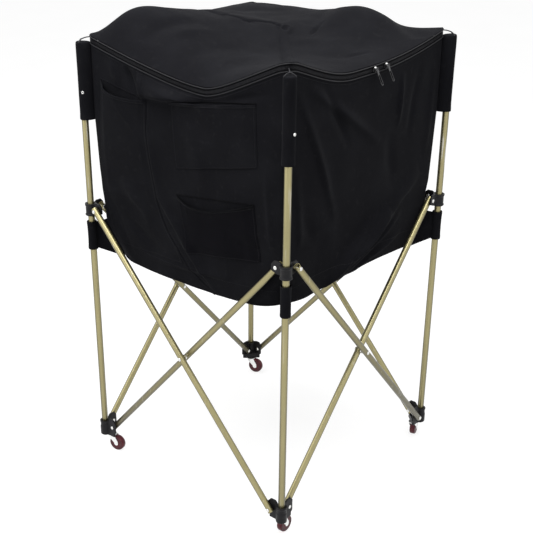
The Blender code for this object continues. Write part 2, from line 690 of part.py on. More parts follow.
def make_zip_sliders():
    """Two sliders on the right side's zip, each carrying a pull that hangs from a bar between two lugs."""
    face = wall_distance(RIM_Z) + BAND_PROUD + FREE_FIT
    lug_in = PULL_WIDTH / 2 + FIT
    lug_out = lug_in + LUG
    bar_x = SLIDER_DEPTH + BAR_REACH
    tall = SLIDER_HEIGHT / 2
    lug = [
        (SLIDER_DEPTH - 0.001, -tall),
        (bar_x + 0.0010, -0.0014),
        (bar_x + 0.0010, 0.0014),
        (SLIDER_DEPTH - 0.001, tall),
    ]
    slider = combined(
        "zip_slider",
        box((0, -SLIDER_LENGTH / 2, -tall), (SLIDER_DEPTH, SLIDER_LENGTH / 2, tall)),
        PULL_METAL,
        joined=[
            slab(lug, -lug_out, -lug_in, "XZ"),
            slab(lug, lug_in, lug_out, "XZ"),
            rod(BAR_RADIUS, -lug_out + 0.0005, lug_out - 0.0005, 8, "Y", (bar_x, 0, 0)),
        ],
    )
    eye = (BAR_RADIUS + FIT) / math.cos(math.pi / 8)
    top = eye + 0.0012
    half = PULL_WIDTH / 2
    tab = [
        (-top * 0.6, top),
        (top * 0.6, top),
        (PULL_THICKNESS / 2, -3 * top),
        (PULL_THICKNESS / 2, -PULL_LENGTH),
        (-PULL_THICKNESS / 2, -PULL_LENGTH),
        (-PULL_THICKNESS / 2, -3 * top),
    ]
    pull = combined(
        "zip_pull", slab(tab, -half, half, "XZ"), PULL_METAL, cut=[rod(eye, -2 * half, 2 * half, 8, "Y")]
    )
    for name, s in SLIDER_PLACES.items():
        z = rim_height("right", s) + BAND_HEIGHT / 2
        place(f"slider_{name}", slider, PULL_METAL, (face, s, z))
        hung = place(f"pull_{name}", pull, PULL_METAL, (face + bar_x, s, z))
        hung.rotation_euler = (0, -math.radians(PULL_HANG), 0)


make_legs()
make_foot_hubs()
make_slide_hubs()
make_tubes()
make_casters()
make_walls()
make_lid_and_floor()
make_sleeves()
make_pockets()
make_zip_sliders()
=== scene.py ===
"""The looks of a folding ball cart: a metal tube frame, moulded hubs, casters and a zipped cloth bag."""

import json
import math

import bpy
from mathutils import Matrix, Vector, noise


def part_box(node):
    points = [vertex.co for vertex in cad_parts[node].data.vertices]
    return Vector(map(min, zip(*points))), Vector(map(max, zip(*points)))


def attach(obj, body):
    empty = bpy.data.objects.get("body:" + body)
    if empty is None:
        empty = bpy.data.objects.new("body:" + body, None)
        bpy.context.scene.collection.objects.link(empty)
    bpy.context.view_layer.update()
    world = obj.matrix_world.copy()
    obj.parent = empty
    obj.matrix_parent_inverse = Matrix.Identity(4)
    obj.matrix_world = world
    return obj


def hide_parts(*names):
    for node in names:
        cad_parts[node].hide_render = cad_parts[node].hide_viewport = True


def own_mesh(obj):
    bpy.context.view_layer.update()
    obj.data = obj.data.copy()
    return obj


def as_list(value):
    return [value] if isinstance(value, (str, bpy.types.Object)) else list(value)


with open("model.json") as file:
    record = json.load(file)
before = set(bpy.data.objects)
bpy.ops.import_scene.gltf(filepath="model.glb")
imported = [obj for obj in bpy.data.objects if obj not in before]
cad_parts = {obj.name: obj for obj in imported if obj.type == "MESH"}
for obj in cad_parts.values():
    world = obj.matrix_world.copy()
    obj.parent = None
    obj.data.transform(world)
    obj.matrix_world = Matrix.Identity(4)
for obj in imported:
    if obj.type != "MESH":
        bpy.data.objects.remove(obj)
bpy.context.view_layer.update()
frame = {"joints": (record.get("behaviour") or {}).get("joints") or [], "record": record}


# The camera
# It stands in front of the cart's front right leg, a little above the lid, and looks down on it.
# Its lens is long enough to keep the legs nearly upright, and the shift frames the cart.
bpy.ops.object.camera_add(location=(1.5489, -1.8973, 1.5436))
camera = bpy.context.object
CAMERA_AZIMUTH, CAMERA_ELEVATION, CAMERA_ROLL = 41.5188, 26.1562, -0.4202
aim = Matrix.Rotation(math.radians(CAMERA_AZIMUTH), 3, "Z")
aim @= Matrix.Rotation(math.radians(90 - CAMERA_ELEVATION), 3, "X")
aim @= Matrix.Rotation(math.radians(CAMERA_ROLL), 3, "Z")
camera.rotation_euler = aim.to_euler()
camera.data.lens = 71.56
camera.data.shift_x = 0.0742
camera.data.shift_y = 0.116
bpy.context.scene.camera = camera
bpy.context.scene.view_settings.view_transform = "Standard"


# The floor and the light
# A plain pale floor runs on past the picture, under a large soft lamp overhead and two weaker ones, in front
# and at the right. It shows white, and keeps the cart's soft shadow.
class Wire:
    """What a shader node gives out. Arithmetic on it adds Math nodes."""

    def __init__(self, finish, socket):
        self.finish = finish
        self.socket = socket

    def __add__(self, other):
        return self.finish.maths("ADD", self, other)

    def __radd__(self, other):
        return self.finish.maths("ADD", other, self)

    def __sub__(self, other):
        return self.finish.maths("SUBTRACT", self, other)

    def __rsub__(self, other):
        return self.finish.maths("SUBTRACT", other, self)

    def __mul__(self, other):
        return self.finish.maths("MULTIPLY", self, other)

    def __rmul__(self, other):
        return self.finish.maths("MULTIPLY", other, self)

    def __gt__(self, other):
        return self.finish.maths("GREATER_THAN", self, other)


class Finish:
    """A surface finish. Fixed numbers go straight on the shader, and nodes work out what varies."""

    def __init__(self, name, fixed):
        self.material = bpy.data.materials.new(name)
        self.material.use_nodes = True
        self.tree = self.material.node_tree
        self.shader = self.tree.nodes["Principled BSDF"]
        self.give(fixed)

    def put(self, socket, value):
        if isinstance(value, Wire):
            self.tree.links.new(value.socket, socket)
        elif socket.type == "RGBA":
            socket.default_value = (*value, 1.0)
        else:
            socket.default_value = value

    def give(self, values):
        for name, value in values.items():
            self.put(self.shader.inputs[name], value)

    def node(self, kind, settings=None, values=None, out=0):
        made = self.tree.nodes.new("ShaderNode" + kind)
        for name, value in (settings or {}).items():
            setattr(made, name, value)
        for name, value in (values or {}).items():
            self.put(made.inputs[name], value)
        return Wire(self, made.outputs[out])

    def maths(self, operation, *values):
        return self.node("Math", {"operation": operation}, dict(enumerate(values)))

    def along(self, axis, source="UV"):
        """A place's distance along one axis."""
        return self.node("SeparateXYZ", {}, {"Vector": self.node("TexCoord", out=source)}, out=axis)

    def grain(self, scale, detail=2.0, stretch=(1, 1, 1), source="Object"):
        """Even noise from 0 to 1, so many grains to the metre."""
        where = self.node("TexCoord", out=source)
        where = self.node("Mapping", {}, {"Vector": where, "Scale": stretch})
        return self.node("TexNoise", {}, {"Vector": where, "Scale": scale, "Detail": detail})

    def between(self, value, low, high):
        """How far a value is from one level to another, held to 0 and 1."""
        limits = {"Value": value, "From Min": low, "From Max": high}
        return self.node("MapRange", {"interpolation_type": "SMOOTHSTEP"}, limits)

    def mix(self, share, first, second):
        """A colour on the way from one to another."""
        return self.node("Mix", {"data_type": "RGBA"}, {0: share, 6: first, 7: second}, out=2)

    def bump(self, height, distance, strength=1.0):
        return self.node("Bump", {}, {"Height": height, "Distance": distance, "Strength": strength})


def begin(name, add, **settings):
    """A primitive with nothing else selected, its place in its mesh."""
    bpy.ops.object.select_all(action="DESELECT")
    add(**settings)
    bpy.ops.object.transform_apply(location=True, rotation=True, scale=True)
    piece = bpy.context.object
    piece.name = name
    piece.data.name = name
    return piece


FLOOR_SIZE = 60
floor = begin("floor", bpy.ops.mesh.primitive_plane_add, size=FLOOR_SIZE)
pale = Finish("pale_floor", {"Roughness": 0.9, "Specular IOR Level": 0.0, "Emission Strength": 1.0})
seen = pale.node("LightPath", out="Is Camera Ray") + pale.node("LightPath", out="Is Glossy Ray")
seen = seen + pale.node("LightPath", out="Is Transmission Ray")
speck = pale.between(pale.grain(3.0), 0.2, 0.8)
pale.give({"Base Color": pale.mix(speck, (0.33, 0.33, 0.33), (0.35, 0.35, 0.35))})
pale.give({"Emission Color": pale.mix(seen, (0.0, 0.0, 0.0), (0.84, 0.84, 0.84))})
floor.data.materials.append(pale.material)

LAMPS = {
    "overhead": {"at": (0.15, -0.7, 3.4), "size": 3.0, "power": 103},
    "front": {"at": (-1.6, -3.6, 1.9), "size": 2.2, "power": 25},
    "right": {"at": (3.8, -0.4, 1.8), "size": 2.0, "power": 8},
}
for lamp_name, lamp in LAMPS.items():
    bpy.ops.object.light_add(type="AREA", location=lamp["at"])
    light = bpy.context.object
    light.name = f"lamp_{lamp_name}"
    light.data.size = lamp["size"]
    light.data.energy = lamp["power"]
    towards = Vector((0, 0, 0.7)) - Vector(lamp["at"])
    light.rotation_euler = towards.to_track_quat("-Z", "Y").to_euler()

bpy.context.scene.world = bpy.data.worlds.new("studio")
world = bpy.context.scene.world
world.use_nodes = True
# The backdrop is white to look at, and lights the cart less than that.
WORLD_DIFFUSE = 0.36
background = world.node_tree.nodes["Background"]
path = world.node_tree.nodes.new("ShaderNodeLightPath")
level = world.node_tree.nodes.new("ShaderNodeMapRange")
level.inputs["To Min"].default_value = 1.0
level.inputs["To Max"].default_value = WORLD_DIFFUSE
world.node_tree.links.new(path.outputs["Is Diffuse Ray"], level.inputs["Value"])
world.node_tree.links.new(level.outputs["Result"], background.inputs["Strength"])
background.inputs["Color"].default_value = (1, 1, 1, 1)


# The legs
# Four upright round tubes of thin metal, painted a satin champagne. Each stands in its foot hub and carries
# the sleeves of the bag. The paint has a fine sparkle, and is rubbed where the sliding hub runs.
def take(piece):
    """Selects one piece alone."""
    bpy.ops.object.select_all(action="DESELECT")
    piece.select_set(True)
    bpy.context.view_layer.objects.active = piece


def settle(piece, kind, **settings):
    """Adds a modifier to a piece and applies it."""
    take(piece)
    modifier = piece.modifiers.new(kind.lower(), kind)
    for name, value in settings.items():
        setattr(modifier, name, value)
    bpy.ops.object.modifier_apply(modifier=modifier.name)


def smooth(piece, angle=35):
    take(piece)
    bpy.ops.object.shade_smooth_by_angle(angle=math.radians(angle))


def copied(piece, name, move):
    """A copy with its own mesh, its place moved in the mesh."""
    other = piece.copy()
    other.data = piece.data.copy()
    other.name = name
    other.data.name = name
    bpy.context.scene.collection.objects.link(other)
    other.data.transform(move)
    return other


def dress(piece, finish, body, slot, *nodes):
    """Gives a piece its finish and the body it moves with, and hides the nodes it stands for; slot is not
    used.
    """
    piece.data.materials.clear()
    piece.data.materials.append(finish.material)
    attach(piece, body)
    if nodes:
        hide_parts(*nodes)
    return piece


def tube(name, radius, wall, low, high):
    """A round tube along Z with its rims rounded off."""
    piece = begin(
        name,
        bpy.ops.mesh.primitive_cylinder_add,
        vertices=48,
        radius=radius,
        depth=high - low,
        end_fill_type="NOTHING",
        location=(0, 0, (low + high) / 2),
    )
    settle(piece, "SOLIDIFY", thickness=wall, offset=-1.0)
    settle(piece, "BEVEL", width=0.0004, segments=2, limit_method="ANGLE", angle_limit=math.radians(50))
    smooth(piece)
    return piece


def tube_finish(name, colour, rubbed):
    """Satin paint on metal: a fine sparkle, faint handling marks and a rubbed band between two heights."""
    made = Finish(name, {"Coat Weight": 0.25, "Coat Roughness": 0.35})
    smudge = made.between(made.grain(9.0, 4.0), 0.35, 0.75)
    sparkle = made.grain(2600.0, 1.0)
    scratch = made.between(made.grain(160.0, 3.0, (1, 1, 0.05)), 0.62, 0.70)
    height = made.along(2, "Object")
    low, high = rubbed
    band = made.between(height, low, low + 0.05) * made.between(height, high, high - 0.05)
    wear = scratch * (0.25 + 0.6 * band)
    paler = tuple(value * 1.25 for value in colour)
    dull = tuple(value * 0.86 for value in colour)
    shade = made.mix(smudge, dull, colour)
    shade = made.mix(made.between(sparkle, 0.45, 0.75) * 0.5, shade, paler)
    # Painted shade: the colour darkens at the tube's edges, for the dark surroundings reflected there.
    edge = made.between(made.node("LayerWeight", {}, {"Blend": 0.5}, out=1), 0.14, 0.74)
    shade = made.mix(edge * 0.86, shade, tuple(value * 0.16 for value in colour))
    made.give(
        {
            "Base Color": made.mix(wear, shade, (0.62, 0.60, 0.54)),
            "Metallic": 0.72 + 0.2 * sparkle,
            "Roughness": 0.30 + 0.14 * smudge - 0.08 * wear,
            "Normal": made.bump(sparkle, 0.00008, 0.5),
        }
    )
    return made


# Each corner's leg, by its turn from the front right one.
CORNERS = {"front_left": -90, "front_right": 0, "back_right": 90, "back_left": 180}
LEG_RADIUS = 0.008
TUBE_WALL = 0.0012
CHAMPAGNE = (0.392, 0.348, 0.176)
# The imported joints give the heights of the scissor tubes' pins.
pins = {joint["name"]: Vector(joint["pos_m"]) for joint in frame["joints"]}
high_pin_z = pins["front_left_slide"].z
low_pin_z = pins["fold"].z

leg_low, leg_high = (corner.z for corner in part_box("leg_front_right"))
leg = tube("leg", LEG_RADIUS, TUBE_WALL, leg_low, leg_high)
leg_paint = tube_finish("champagne_leg", CHAMPAGNE, (high_pin_z + 0.02, high_pin_z + 0.22))
# Half the distance between two legs.
half = -sum(corner.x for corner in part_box("leg_front_left")) / 2


def corner_turn(corner):
    """The turn that takes a piece from the front right corner to another one."""
    return Matrix.Rotation(math.radians(CORNERS[corner]), 4, "Z")


def at_corner(corner):
    """Takes a piece made round the upright of the front right leg to a corner of the cart."""
    return corner_turn(corner) @ Matrix.Translation((half, -half, 0))


for corner in CORNERS:
    made = copied(leg, f"leg_tube_{corner}", at_corner(corner))
    dress(made, leg_paint, f"frame_{corner}", "tube_metal", f"leg_{corner}")
bpy.data.objects.remove(leg)


# The scissor tubes
# Two slimmer tubes of the same painted metal cross on each side. Their square-cut open ends are pinned to the
# foot hub of one leg and the sliding hub of the next with domed steel rivets.
def raised(levels):
    """Draws the piece in hand up from its first level of size and height through the others."""
    size, height = levels[0]
    for wider, higher in levels[1:]:
        bpy.ops.mesh.extrude_region_move(TRANSFORM_OT_translate={"value": (0, 0, higher - height)})
        share = wider / size
        bpy.ops.transform.resize(value=(share, share, 1), center_override=(0, 0, higher))
        size, height = wider, higher


def faced_out():
    """Turns all faces of the piece in hand outwards and leaves edit mode."""
    bpy.ops.mesh.select_all(action="SELECT")
    bpy.ops.mesh.normals_make_consistent(inside=False)
    bpy.ops.object.mode_set(mode="OBJECT")


def stacked(name, sides, levels, filled=True):
    """A round piece drawn up from a disc or ring, through levels of radius and height."""
    radius, height = levels[0]
    piece = begin(
        name,
        bpy.ops.mesh.primitive_circle_add,
        vertices=sides,
        radius=radius,
        fill_type="NGON" if filled else "NOTHING",
        location=(0, 0, height),
    )
    bpy.ops.object.mode_set(mode="EDIT")
    bpy.ops.mesh.select_all(action="SELECT")
    raised(levels)
    faced_out()
    return piece


def rivet(name, radius, dome, low, high, shank):
    """A pin with a domed head outside each of two levels."""
    head = [(0.35, 1.0), (0.72, 0.86), (0.92, 0.5), (1.0, 0.12), (1.0, 0.0)]
    levels = [(radius * share, low - dome * rise) for share, rise in head]
    levels += [(shank, low), (shank, high)]
    levels += [(radius * share, high + dome * rise) for share, rise in reversed(head)]
    piece = stacked(name, 24, levels)
    smooth(piece, 40)
    return piece


def speckled(name, fixed, grain, colours, roughness, relief, levels=None):
    """A finish whose colour, roughness and relief all follow one grain, cut to the levels given."""
    made = Finish(name, fixed)
    speck = made.grain(*grain)
    if levels:
        speck = made.between(speck, *levels)
    made.give(
        {
            "Base Color": made.mix(speck, *colours),
            "Roughness": roughness[0] + roughness[1] * speck,
            "Normal": made.bump(speck, *relief),
        }
    )
    return made


TUBE_RADIUS = 0.0075
TUBE_END = 0.008
PIN_OFFSET = 0.028
PIN_RADIUS = 0.0025
RIVET_HEAD = 0.0046
RIVET_DOME = 0.0014
EAR_THICKNESS = 0.0045
FIT = 0.0003
tube_offset = EAR_THICKNESS / 2 + FIT + TUBE_RADIUS
pin_span = 2 * (half - PIN_OFFSET)
pin_rise = high_pin_z - low_pin_z
tube_length = math.hypot(pin_span, pin_rise)
tube_tilt = math.atan2(pin_span, pin_rise)
TURNS = {"front": 0, "right": 90, "back": 180, "left": 270}

scissor = tube("scissor", TUBE_RADIUS, TUBE_WALL, -TUBE_END, tube_length + TUBE_END)
# No hub runs on these tubes, so their rubbed band lies above the cart.
scissor_paint = tube_finish("champagne_scissor", CHAMPAGNE, (2.0, 3.0))
steel = speckled(
    "bright_rivet",
    {"Metallic": 1.0},
    grain=(900.0, 3.0),
    colours=((0.62, 0.62, 0.60), (0.86, 0.86, 0.84)),
    roughness=(0.22, 0.2),
    relief=(0.0001, 0.4),
)
ear_face = tube_offset + EAR_THICKNESS / 2 + FIT
pin = rivet("pin", RIVET_HEAD, RIVET_DOME, -TUBE_RADIUS, ear_face, PIN_RADIUS)
along_y = Matrix.Rotation(-math.pi / 2, 4, "X")
pin.data.transform(along_y)
for side, turn in TURNS.items():
    for layer, start in (("outer", 1), ("inner", -1)):
        stand = Matrix.Rotation(math.radians(turn), 4, "Z")
        stand @= Matrix.Translation((start * pin_span / 2, -half - start * tube_offset, low_pin_z))
        stand @= Matrix.Rotation(-start * tube_tilt, 4, "Y")
        stand @= Matrix.Rotation(0 if layer == "outer" else math.pi, 4, "Z")
        body = f"{side}_{layer}"
        made = copied(scissor, f"scissor_{body}", stand)
        dress(made, scissor_paint, body, "tube_metal", f"tube_{body}")
        for end, along in (("low", 0.0), ("high", tube_length)):
            made = copied(pin, f"pin_{body}_{end}", stand @ Matrix.Translation((0, 0, along)))
            dress(made, steel, body, "zinc")
bpy.data.objects.remove(scissor)
bpy.data.objects.remove(pin)

reach = tube_offset + TUBE_RADIUS + FIT
crossing = rivet("crossing", RIVET_HEAD, RIVET_DOME, -reach, reach, PIN_RADIUS)


def both_ways(levels, middle=()):
    """A round piece's levels below its middle, any at the middle, and the first ones again above it."""
    return [*levels, *middle, *((radius, -height) for radius, height in reversed(levels))]


WASHER_RADIUS = 0.0064
washer_half = tube_offset - TUBE_RADIUS - FIT
washer_levels = both_ways([(WASHER_RADIUS - 0.0006, -washer_half), (WASHER_RADIUS, -washer_half + 0.0004)])
washer = stacked("washer", 24, washer_levels)
smooth(washer, 40)
for side, turn in TURNS.items():
    stand = Matrix.Rotation(math.radians(turn), 4, "Z")
    stand @= Matrix.Translation((0, -half, low_pin_z + pin_rise / 2)) @ along_y
    node = f"rivet_{side}"
    body = next(name for name, nodes in frame["record"]["behaviour"]["bodies"].items() if node in nodes)
    dress(copied(crossing, f"crossing_{side}", stand), steel, body, "zinc", node)
    dress(copied(washer, f"washer_{side}", stand), steel, body, "zinc")
bpy.data.objects.remove(crossing)
bpy.data.objects.remove(washer)


# The hubs
# Moulded charcoal plastic. A foot hub is a cup for the leg with two ears and a keel below them, and a sliding
# hub is a collar with two wings. Both are made as one lump with soft moulded edges and a fine spark grain.
def plate(name, outline, low, high, stand):
    """A flat outline extruded from one level to another, then stood in its place."""
    piece = begin(name, bpy.ops.mesh.primitive_circle_add, vertices=len(outline), radius=1, fill_type="NGON")
    for point, (across, along) in zip(piece.data.vertices, outline):
        point.co = (across, along, low)
    bpy.ops.object.mode_set(mode="EDIT")
    bpy.ops.mesh.select_all(action="SELECT")
    bpy.ops.mesh.extrude_region_move(TRANSFORM_OT_translate={"value": (0, 0, high - low)})
    faced_out()
    piece.data.transform(stand)
    return piece


def arc(x, y, radius, first, last, steps):
    """Points along an arc about a place, from its first to its last angle."""
    angles = [math.radians(first + (last - first) * step / steps) for step in range(steps + 1)]
    return [(x + radius * math.cos(angle), y + radius * math.sin(angle)) for angle in angles]


def moulded(name, lumps, voxel, keep):
    """Lumps joined into one and softened as a moulding is, with only a share of the faces kept."""
    bpy.ops.object.select_all(action="DESELECT")
    for lump in lumps:
        lump.select_set(True)
    bpy.context.view_layer.objects.active = lumps[0]
    bpy.ops.object.join()
    piece = bpy.context.object
    piece.name = name
    settle(piece, "REMESH", mode="VOXEL", voxel_size=voxel)
    settle(piece, "SMOOTH", factor=0.5, iterations=3)
    settle(piece, "DECIMATE", ratio=keep)
    smooth(piece, 60)
    return piece


BOSS_WALL = 0.0048
BEAD_RADIUS = 0.0075
EAR_REACH = 0.039
FOOT_PLATE, FOOT_SOCKET, FOOT_EAR = 0.015, 0.043, 0.052
boss_radius = LEG_RADIUS + FIT + BOSS_WALL
bore = LEG_RADIUS + FIT
# An ear stands in the plane of its side: its outline is given as distance from the leg, then height.
to_x = Matrix(((-1, 0, 0, 0), (0, 0, 1, 0), (0, 1, 0, 0), (0, 0, 0, 1)))
to_y = Matrix(((0, 0, 1, 0), (1, 0, 0, 0), (0, 1, 0, 0), (0, 0, 0, 1)))


def ear_outline(tip_low, tip_high, root_low, root_high):
    """An ear's outline, with the heights of its tip and of its root at the leg."""
    return [
        (LEG_RADIUS + 0.002, root_low),
        (PIN_OFFSET - 0.004, root_low + 0.1 * (tip_low - root_low)),
        (EAR_REACH, tip_low),
        (EAR_REACH, tip_high - 0.008),
        (EAR_REACH - 0.007, tip_high),
        (PIN_OFFSET - 0.010, tip_high),
        (LEG_RADIUS + 0.002, root_high),
    ]


foot_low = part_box("foot_hub_front_right")[0].z
socket_top = foot_low + FOOT_SOCKET
cup_levels = [
    (boss_radius - 0.0035, foot_low),
    (boss_radius, foot_low + 0.003),
    (boss_radius, foot_low + FOOT_PLATE + 0.010),
    (boss_radius - 0.0012, foot_low + FOOT_PLATE + 0.014),
    (boss_radius - 0.0012, socket_top - 0.006),
    (boss_radius, socket_top - 0.004),
    (boss_radius, socket_top),
    (bore, socket_top),
    (bore, leg_low),
]
ear = ear_outline(foot_low + FOOT_PLATE, foot_low + FOOT_EAR, foot_low, socket_top)
half_ear = EAR_THICKNESS / 2
arm = EAR_REACH - 0.005
keel = [(half_ear, -half_ear), (half_ear, arm), (-half_ear, arm), (-arm, half_ear), (-arm, -half_ear)]
bead = arc(PIN_OFFSET, low_pin_z, BEAD_RADIUS, 0, 345, 23)
lumps = [stacked("cup", 48, cup_levels)]
for stand in (to_x, to_y):
    lumps.append(plate("ear", ear, -half_ear, half_ear, stand))
    lumps.append(plate("pin_bead", bead, -half_ear - 0.0002, half_ear + 0.0002, stand))
lumps.append(plate("keel", keel, foot_low + 0.001, foot_low + FOOT_PLATE, Matrix.Identity(4)))
foot_hub = moulded("foot_hub", lumps, 0.0006, 0.35)

SLIDE_HEIGHT, SLIDE_DROP = 0.030, 0.003
collar_low = high_pin_z - SLIDE_HEIGHT / 2 - SLIDE_DROP
collar_high = collar_low + SLIDE_HEIGHT
collar_levels = [
    (boss_radius - 0.0005, collar_low),
    (boss_radius + 0.001, collar_low + 0.0015),
    (boss_radius + 0.001, collar_low + 0.004),
    (boss_radius - 0.0004, collar_low + 0.006),
    (boss_radius - 0.0004, collar_high - 0.007),
    (boss_radius + 0.001, collar_high - 0.004),
    (boss_radius + 0.001, collar_high),
]
collar = stacked("collar", 48, collar_levels, filled=False)
settle(collar, "SOLIDIFY", thickness=BOSS_WALL - 0.0004, offset=-1.0)
wing = ear_outline(collar_low + 0.010, collar_high + 0.003, collar_low + 0.004, collar_high - 0.003)
lumps = [collar]
for stand in (to_x, to_y):
    lumps.append(plate("wing", wing, -half_ear, half_ear, stand))
slide_hub = moulded("slide_hub", lumps, 0.0006, 0.35)

plastic = Finish("charcoal_plastic", {"Specular IOR Level": 0.20})
spark = plastic.grain(1500.0, 3.0)
dust = plastic.between(plastic.grain(55.0, 4.0), 0.52, 0.80)
plastic.give(
    {
        "Base Color": plastic.mix(dust * 0.4, (0.0105, 0.0102, 0.0120), (0.046, 0.044, 0.042)),
        "Roughness": 0.42 + 0.22 * dust,
        "Normal": plastic.bump(spark, 0.00022, 0.55),
    }
)
for corner in CORNERS:
    made = copied(foot_hub, f"foot_moulding_{corner}", at_corner(corner))
    dress(made, plastic, f"frame_{corner}", "hub_plastic", f"foot_hub_{corner}")
    made = copied(slide_hub, f"slide_moulding_{corner}", at_corner(corner))
    dress(made, plastic, f"hub_{corner}", "hub_plastic", f"slide_hub_{corner}")
bpy.data.objects.remove(foot_hub)
bpy.data.objects.remove(slide_hub)


# The casters
# Each has a pressed, zinc-plated fork that swivels on a stem in the foot hub, and a wheel on an axle between
# its cheeks: a maroon moulded tread on a dark rim, with a pale hub disc on each side.
CASTER_INSET = 0.0125
TRAIL = 0.0155
WHEEL_RADIUS = 0.021
WHEEL_WIDTH = 0.0145
CHEEK = 0.0016
CHEEK_END = 0.0062
SWIVEL_RADIUS = 0.0125
SWIVEL_PLATE = 0.002
STEM_RADIUS, STEM_LENGTH = 0.004, 0.012
AXLE_RADIUS = 0.0024
PLAY = 0.0004
plate_top = foot_low - PLAY
plate_low = plate_top - SWIVEL_PLATE
near = WHEEL_WIDTH / 2 + PLAY
race = stacked(
    "race",
    40,
    [
        (SWIVEL_RADIUS - 0.0012, plate_low - 0.0006),
        (SWIVEL_RADIUS - 0.0002, plate_low + 0.0002),
        (SWIVEL_RADIUS, plate_low + 0.0008),
        (SWIVEL_RADIUS - 0.0004, plate_top),
        (STEM_RADIUS, plate_top),
        (STEM_RADIUS, plate_top + STEM_LENGTH - 0.0008),
        (STEM_RADIUS - 0.0008, plate_top + STEM_LENGTH),
    ],
)
cheek_outline = [
    (-SWIVEL_RADIUS + 0.003, plate_low + 0.001),
    (-SWIVEL_RADIUS + 0.004, plate_low - 0.004),
    (TRAIL - CHEEK_END, WHEEL_RADIUS + 0.001),
]
cheek_outline += arc(TRAIL, WHEEL_RADIUS, CHEEK_END, 202.5, 360, 7)
cheek_outline += [(TRAIL + 0.0058, WHEEL_RADIUS + 0.006), (SWIVEL_RADIUS - 0.001, plate_low + 0.001)]
upright = Matrix(((1, 0, 0, 0), (0, 0, 1, 0), (0, 1, 0, 0), (0, 0, 0, 1)))
lumps = [race]
for low, high in ((near, near + CHEEK), (-near - CHEEK, -near)):
    lumps.append(plate("cheek", cheek_outline, low, high, upright))
fork = moulded("fork", lumps, 0.00035, 0.3)
axle = rivet("axle", 0.0042, 0.0010, -near - CHEEK, near + CHEEK, AXLE_RADIUS)
across = Matrix.Translation((TRAIL, 0, WHEEL_RADIUS)) @ along_y
axle.data.transform(across)

half_width = WHEEL_WIDTH / 2
tread_levels = [
    (0.0165, -half_width + 0.0004),
    (WHEEL_RADIUS - 0.0022, -half_width),
    (WHEEL_RADIUS - 0.0008, -half_width + 0.0007),
    (WHEEL_RADIUS, -half_width + 0.0024),
]
tread = stacked("tread", 64, both_ways(tread_levels, [(WHEEL_RADIUS + 0.0001, 0.0)]))
rim_levels = [
    (AXLE_RADIUS + FIT, -half_width + 0.0030),
    (0.0118, -half_width + 0.0030),
    (0.0126, -half_width + 0.0008),
    (0.0160, -half_width + 0.0002),
    (0.0168, -half_width + 0.0006),
]
rim = stacked("rim", 64, both_ways(rim_levels))
disc_levels = [
    (AXLE_RADIUS + FIT, -half_width + 0.0016),
    (0.0060, -half_width + 0.0006),
    (0.0100, -half_width + 0.0012),
    (0.0116, -half_width + 0.0026),
]
disc = stacked("disc", 48, both_ways(disc_levels))
for part in (tread, rim, disc):
    smooth(part, 40)

zinc = Finish("bright_zinc", {"Metallic": 1.0})
spangle = zinc.grain(140.0, 3.0)
dirt = zinc.between(zinc.grain(60.0, 4.0), 0.55, 0.8)
clean = zinc.mix(spangle, (0.74, 0.76, 0.76), (0.90, 0.90, 0.88))
zinc.give(
    {
        "Base Color": zinc.mix(dirt, clean, (0.35, 0.34, 0.32)),
        "Roughness": 0.20 + 0.15 * spangle + 0.25 * dirt,
        "Normal": zinc.bump(spangle, 0.0001, 0.3),
    }
)
rubber = speckled(
    "maroon_tread",
    {"Specular IOR Level": 0.25},
    grain=(120.0, 5.0),
    colours=((0.115, 0.014, 0.024), (0.19, 0.055, 0.060)),
    roughness=(0.30, 0.30),
    relief=(0.00015, 0.5),
    levels=(0.45, 0.75),
)
nylon = speckled(
    "dark_rim",
    {"Specular IOR Level": 0.45},
    grain=(700.0, 3.0),
    colours=((0.010, 0.008, 0.009), (0.028, 0.022, 0.024)),
    roughness=(0.38, 0.2),
    relief=(0.0001, 0.4),
)
hub_disc = speckled(
    "pale_hub_disc",
    {"Specular IOR Level": 0.5},
    grain=(160.0, 4.0),
    colours=((0.62, 0.62, 0.58), (0.40, 0.38, 0.35)),
    roughness=(0.35, 0.2),
    relief=(0.0001, 0.3),
    levels=(0.4, 0.8),
)
# Which way each caster has come to trail.
TRAIL_ANGLES = {"front_left": 12, "front_right": 92, "back_right": 108, "back_left": 14}
for corner, angle in TRAIL_ANGLES.items():
    x, y = (math.copysign(half - CASTER_INSET, place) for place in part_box(f"leg_{corner}")[0].xy)
    stand = Matrix.Translation((x, y, 0)) @ Matrix.Rotation(math.radians(angle), 4, "Z")
    dress(copied(fork, f"fork_{corner}", stand), zinc, f"caster_{corner}", "zinc", f"caster_fork_{corner}")
    dress(copied(axle, f"axle_{corner}", stand), zinc, f"caster_{corner}", "zinc")
    made = copied(tread, f"tread_{corner}", stand @ across)
    dress(made, rubber, f"wheel_{corner}", "tread", f"wheel_{corner}")
    dress(copied(rim, f"rim_{corner}", stand @ across), nylon, f"wheel_{corner}", "tread")
    dress(copied(disc, f"disc_{corner}", stand @ across), hub_disc, f"wheel_{corner}", "tread")
for part in (fork, axle, tread, rim, disc):
    bpy.data.objects.remove(part)


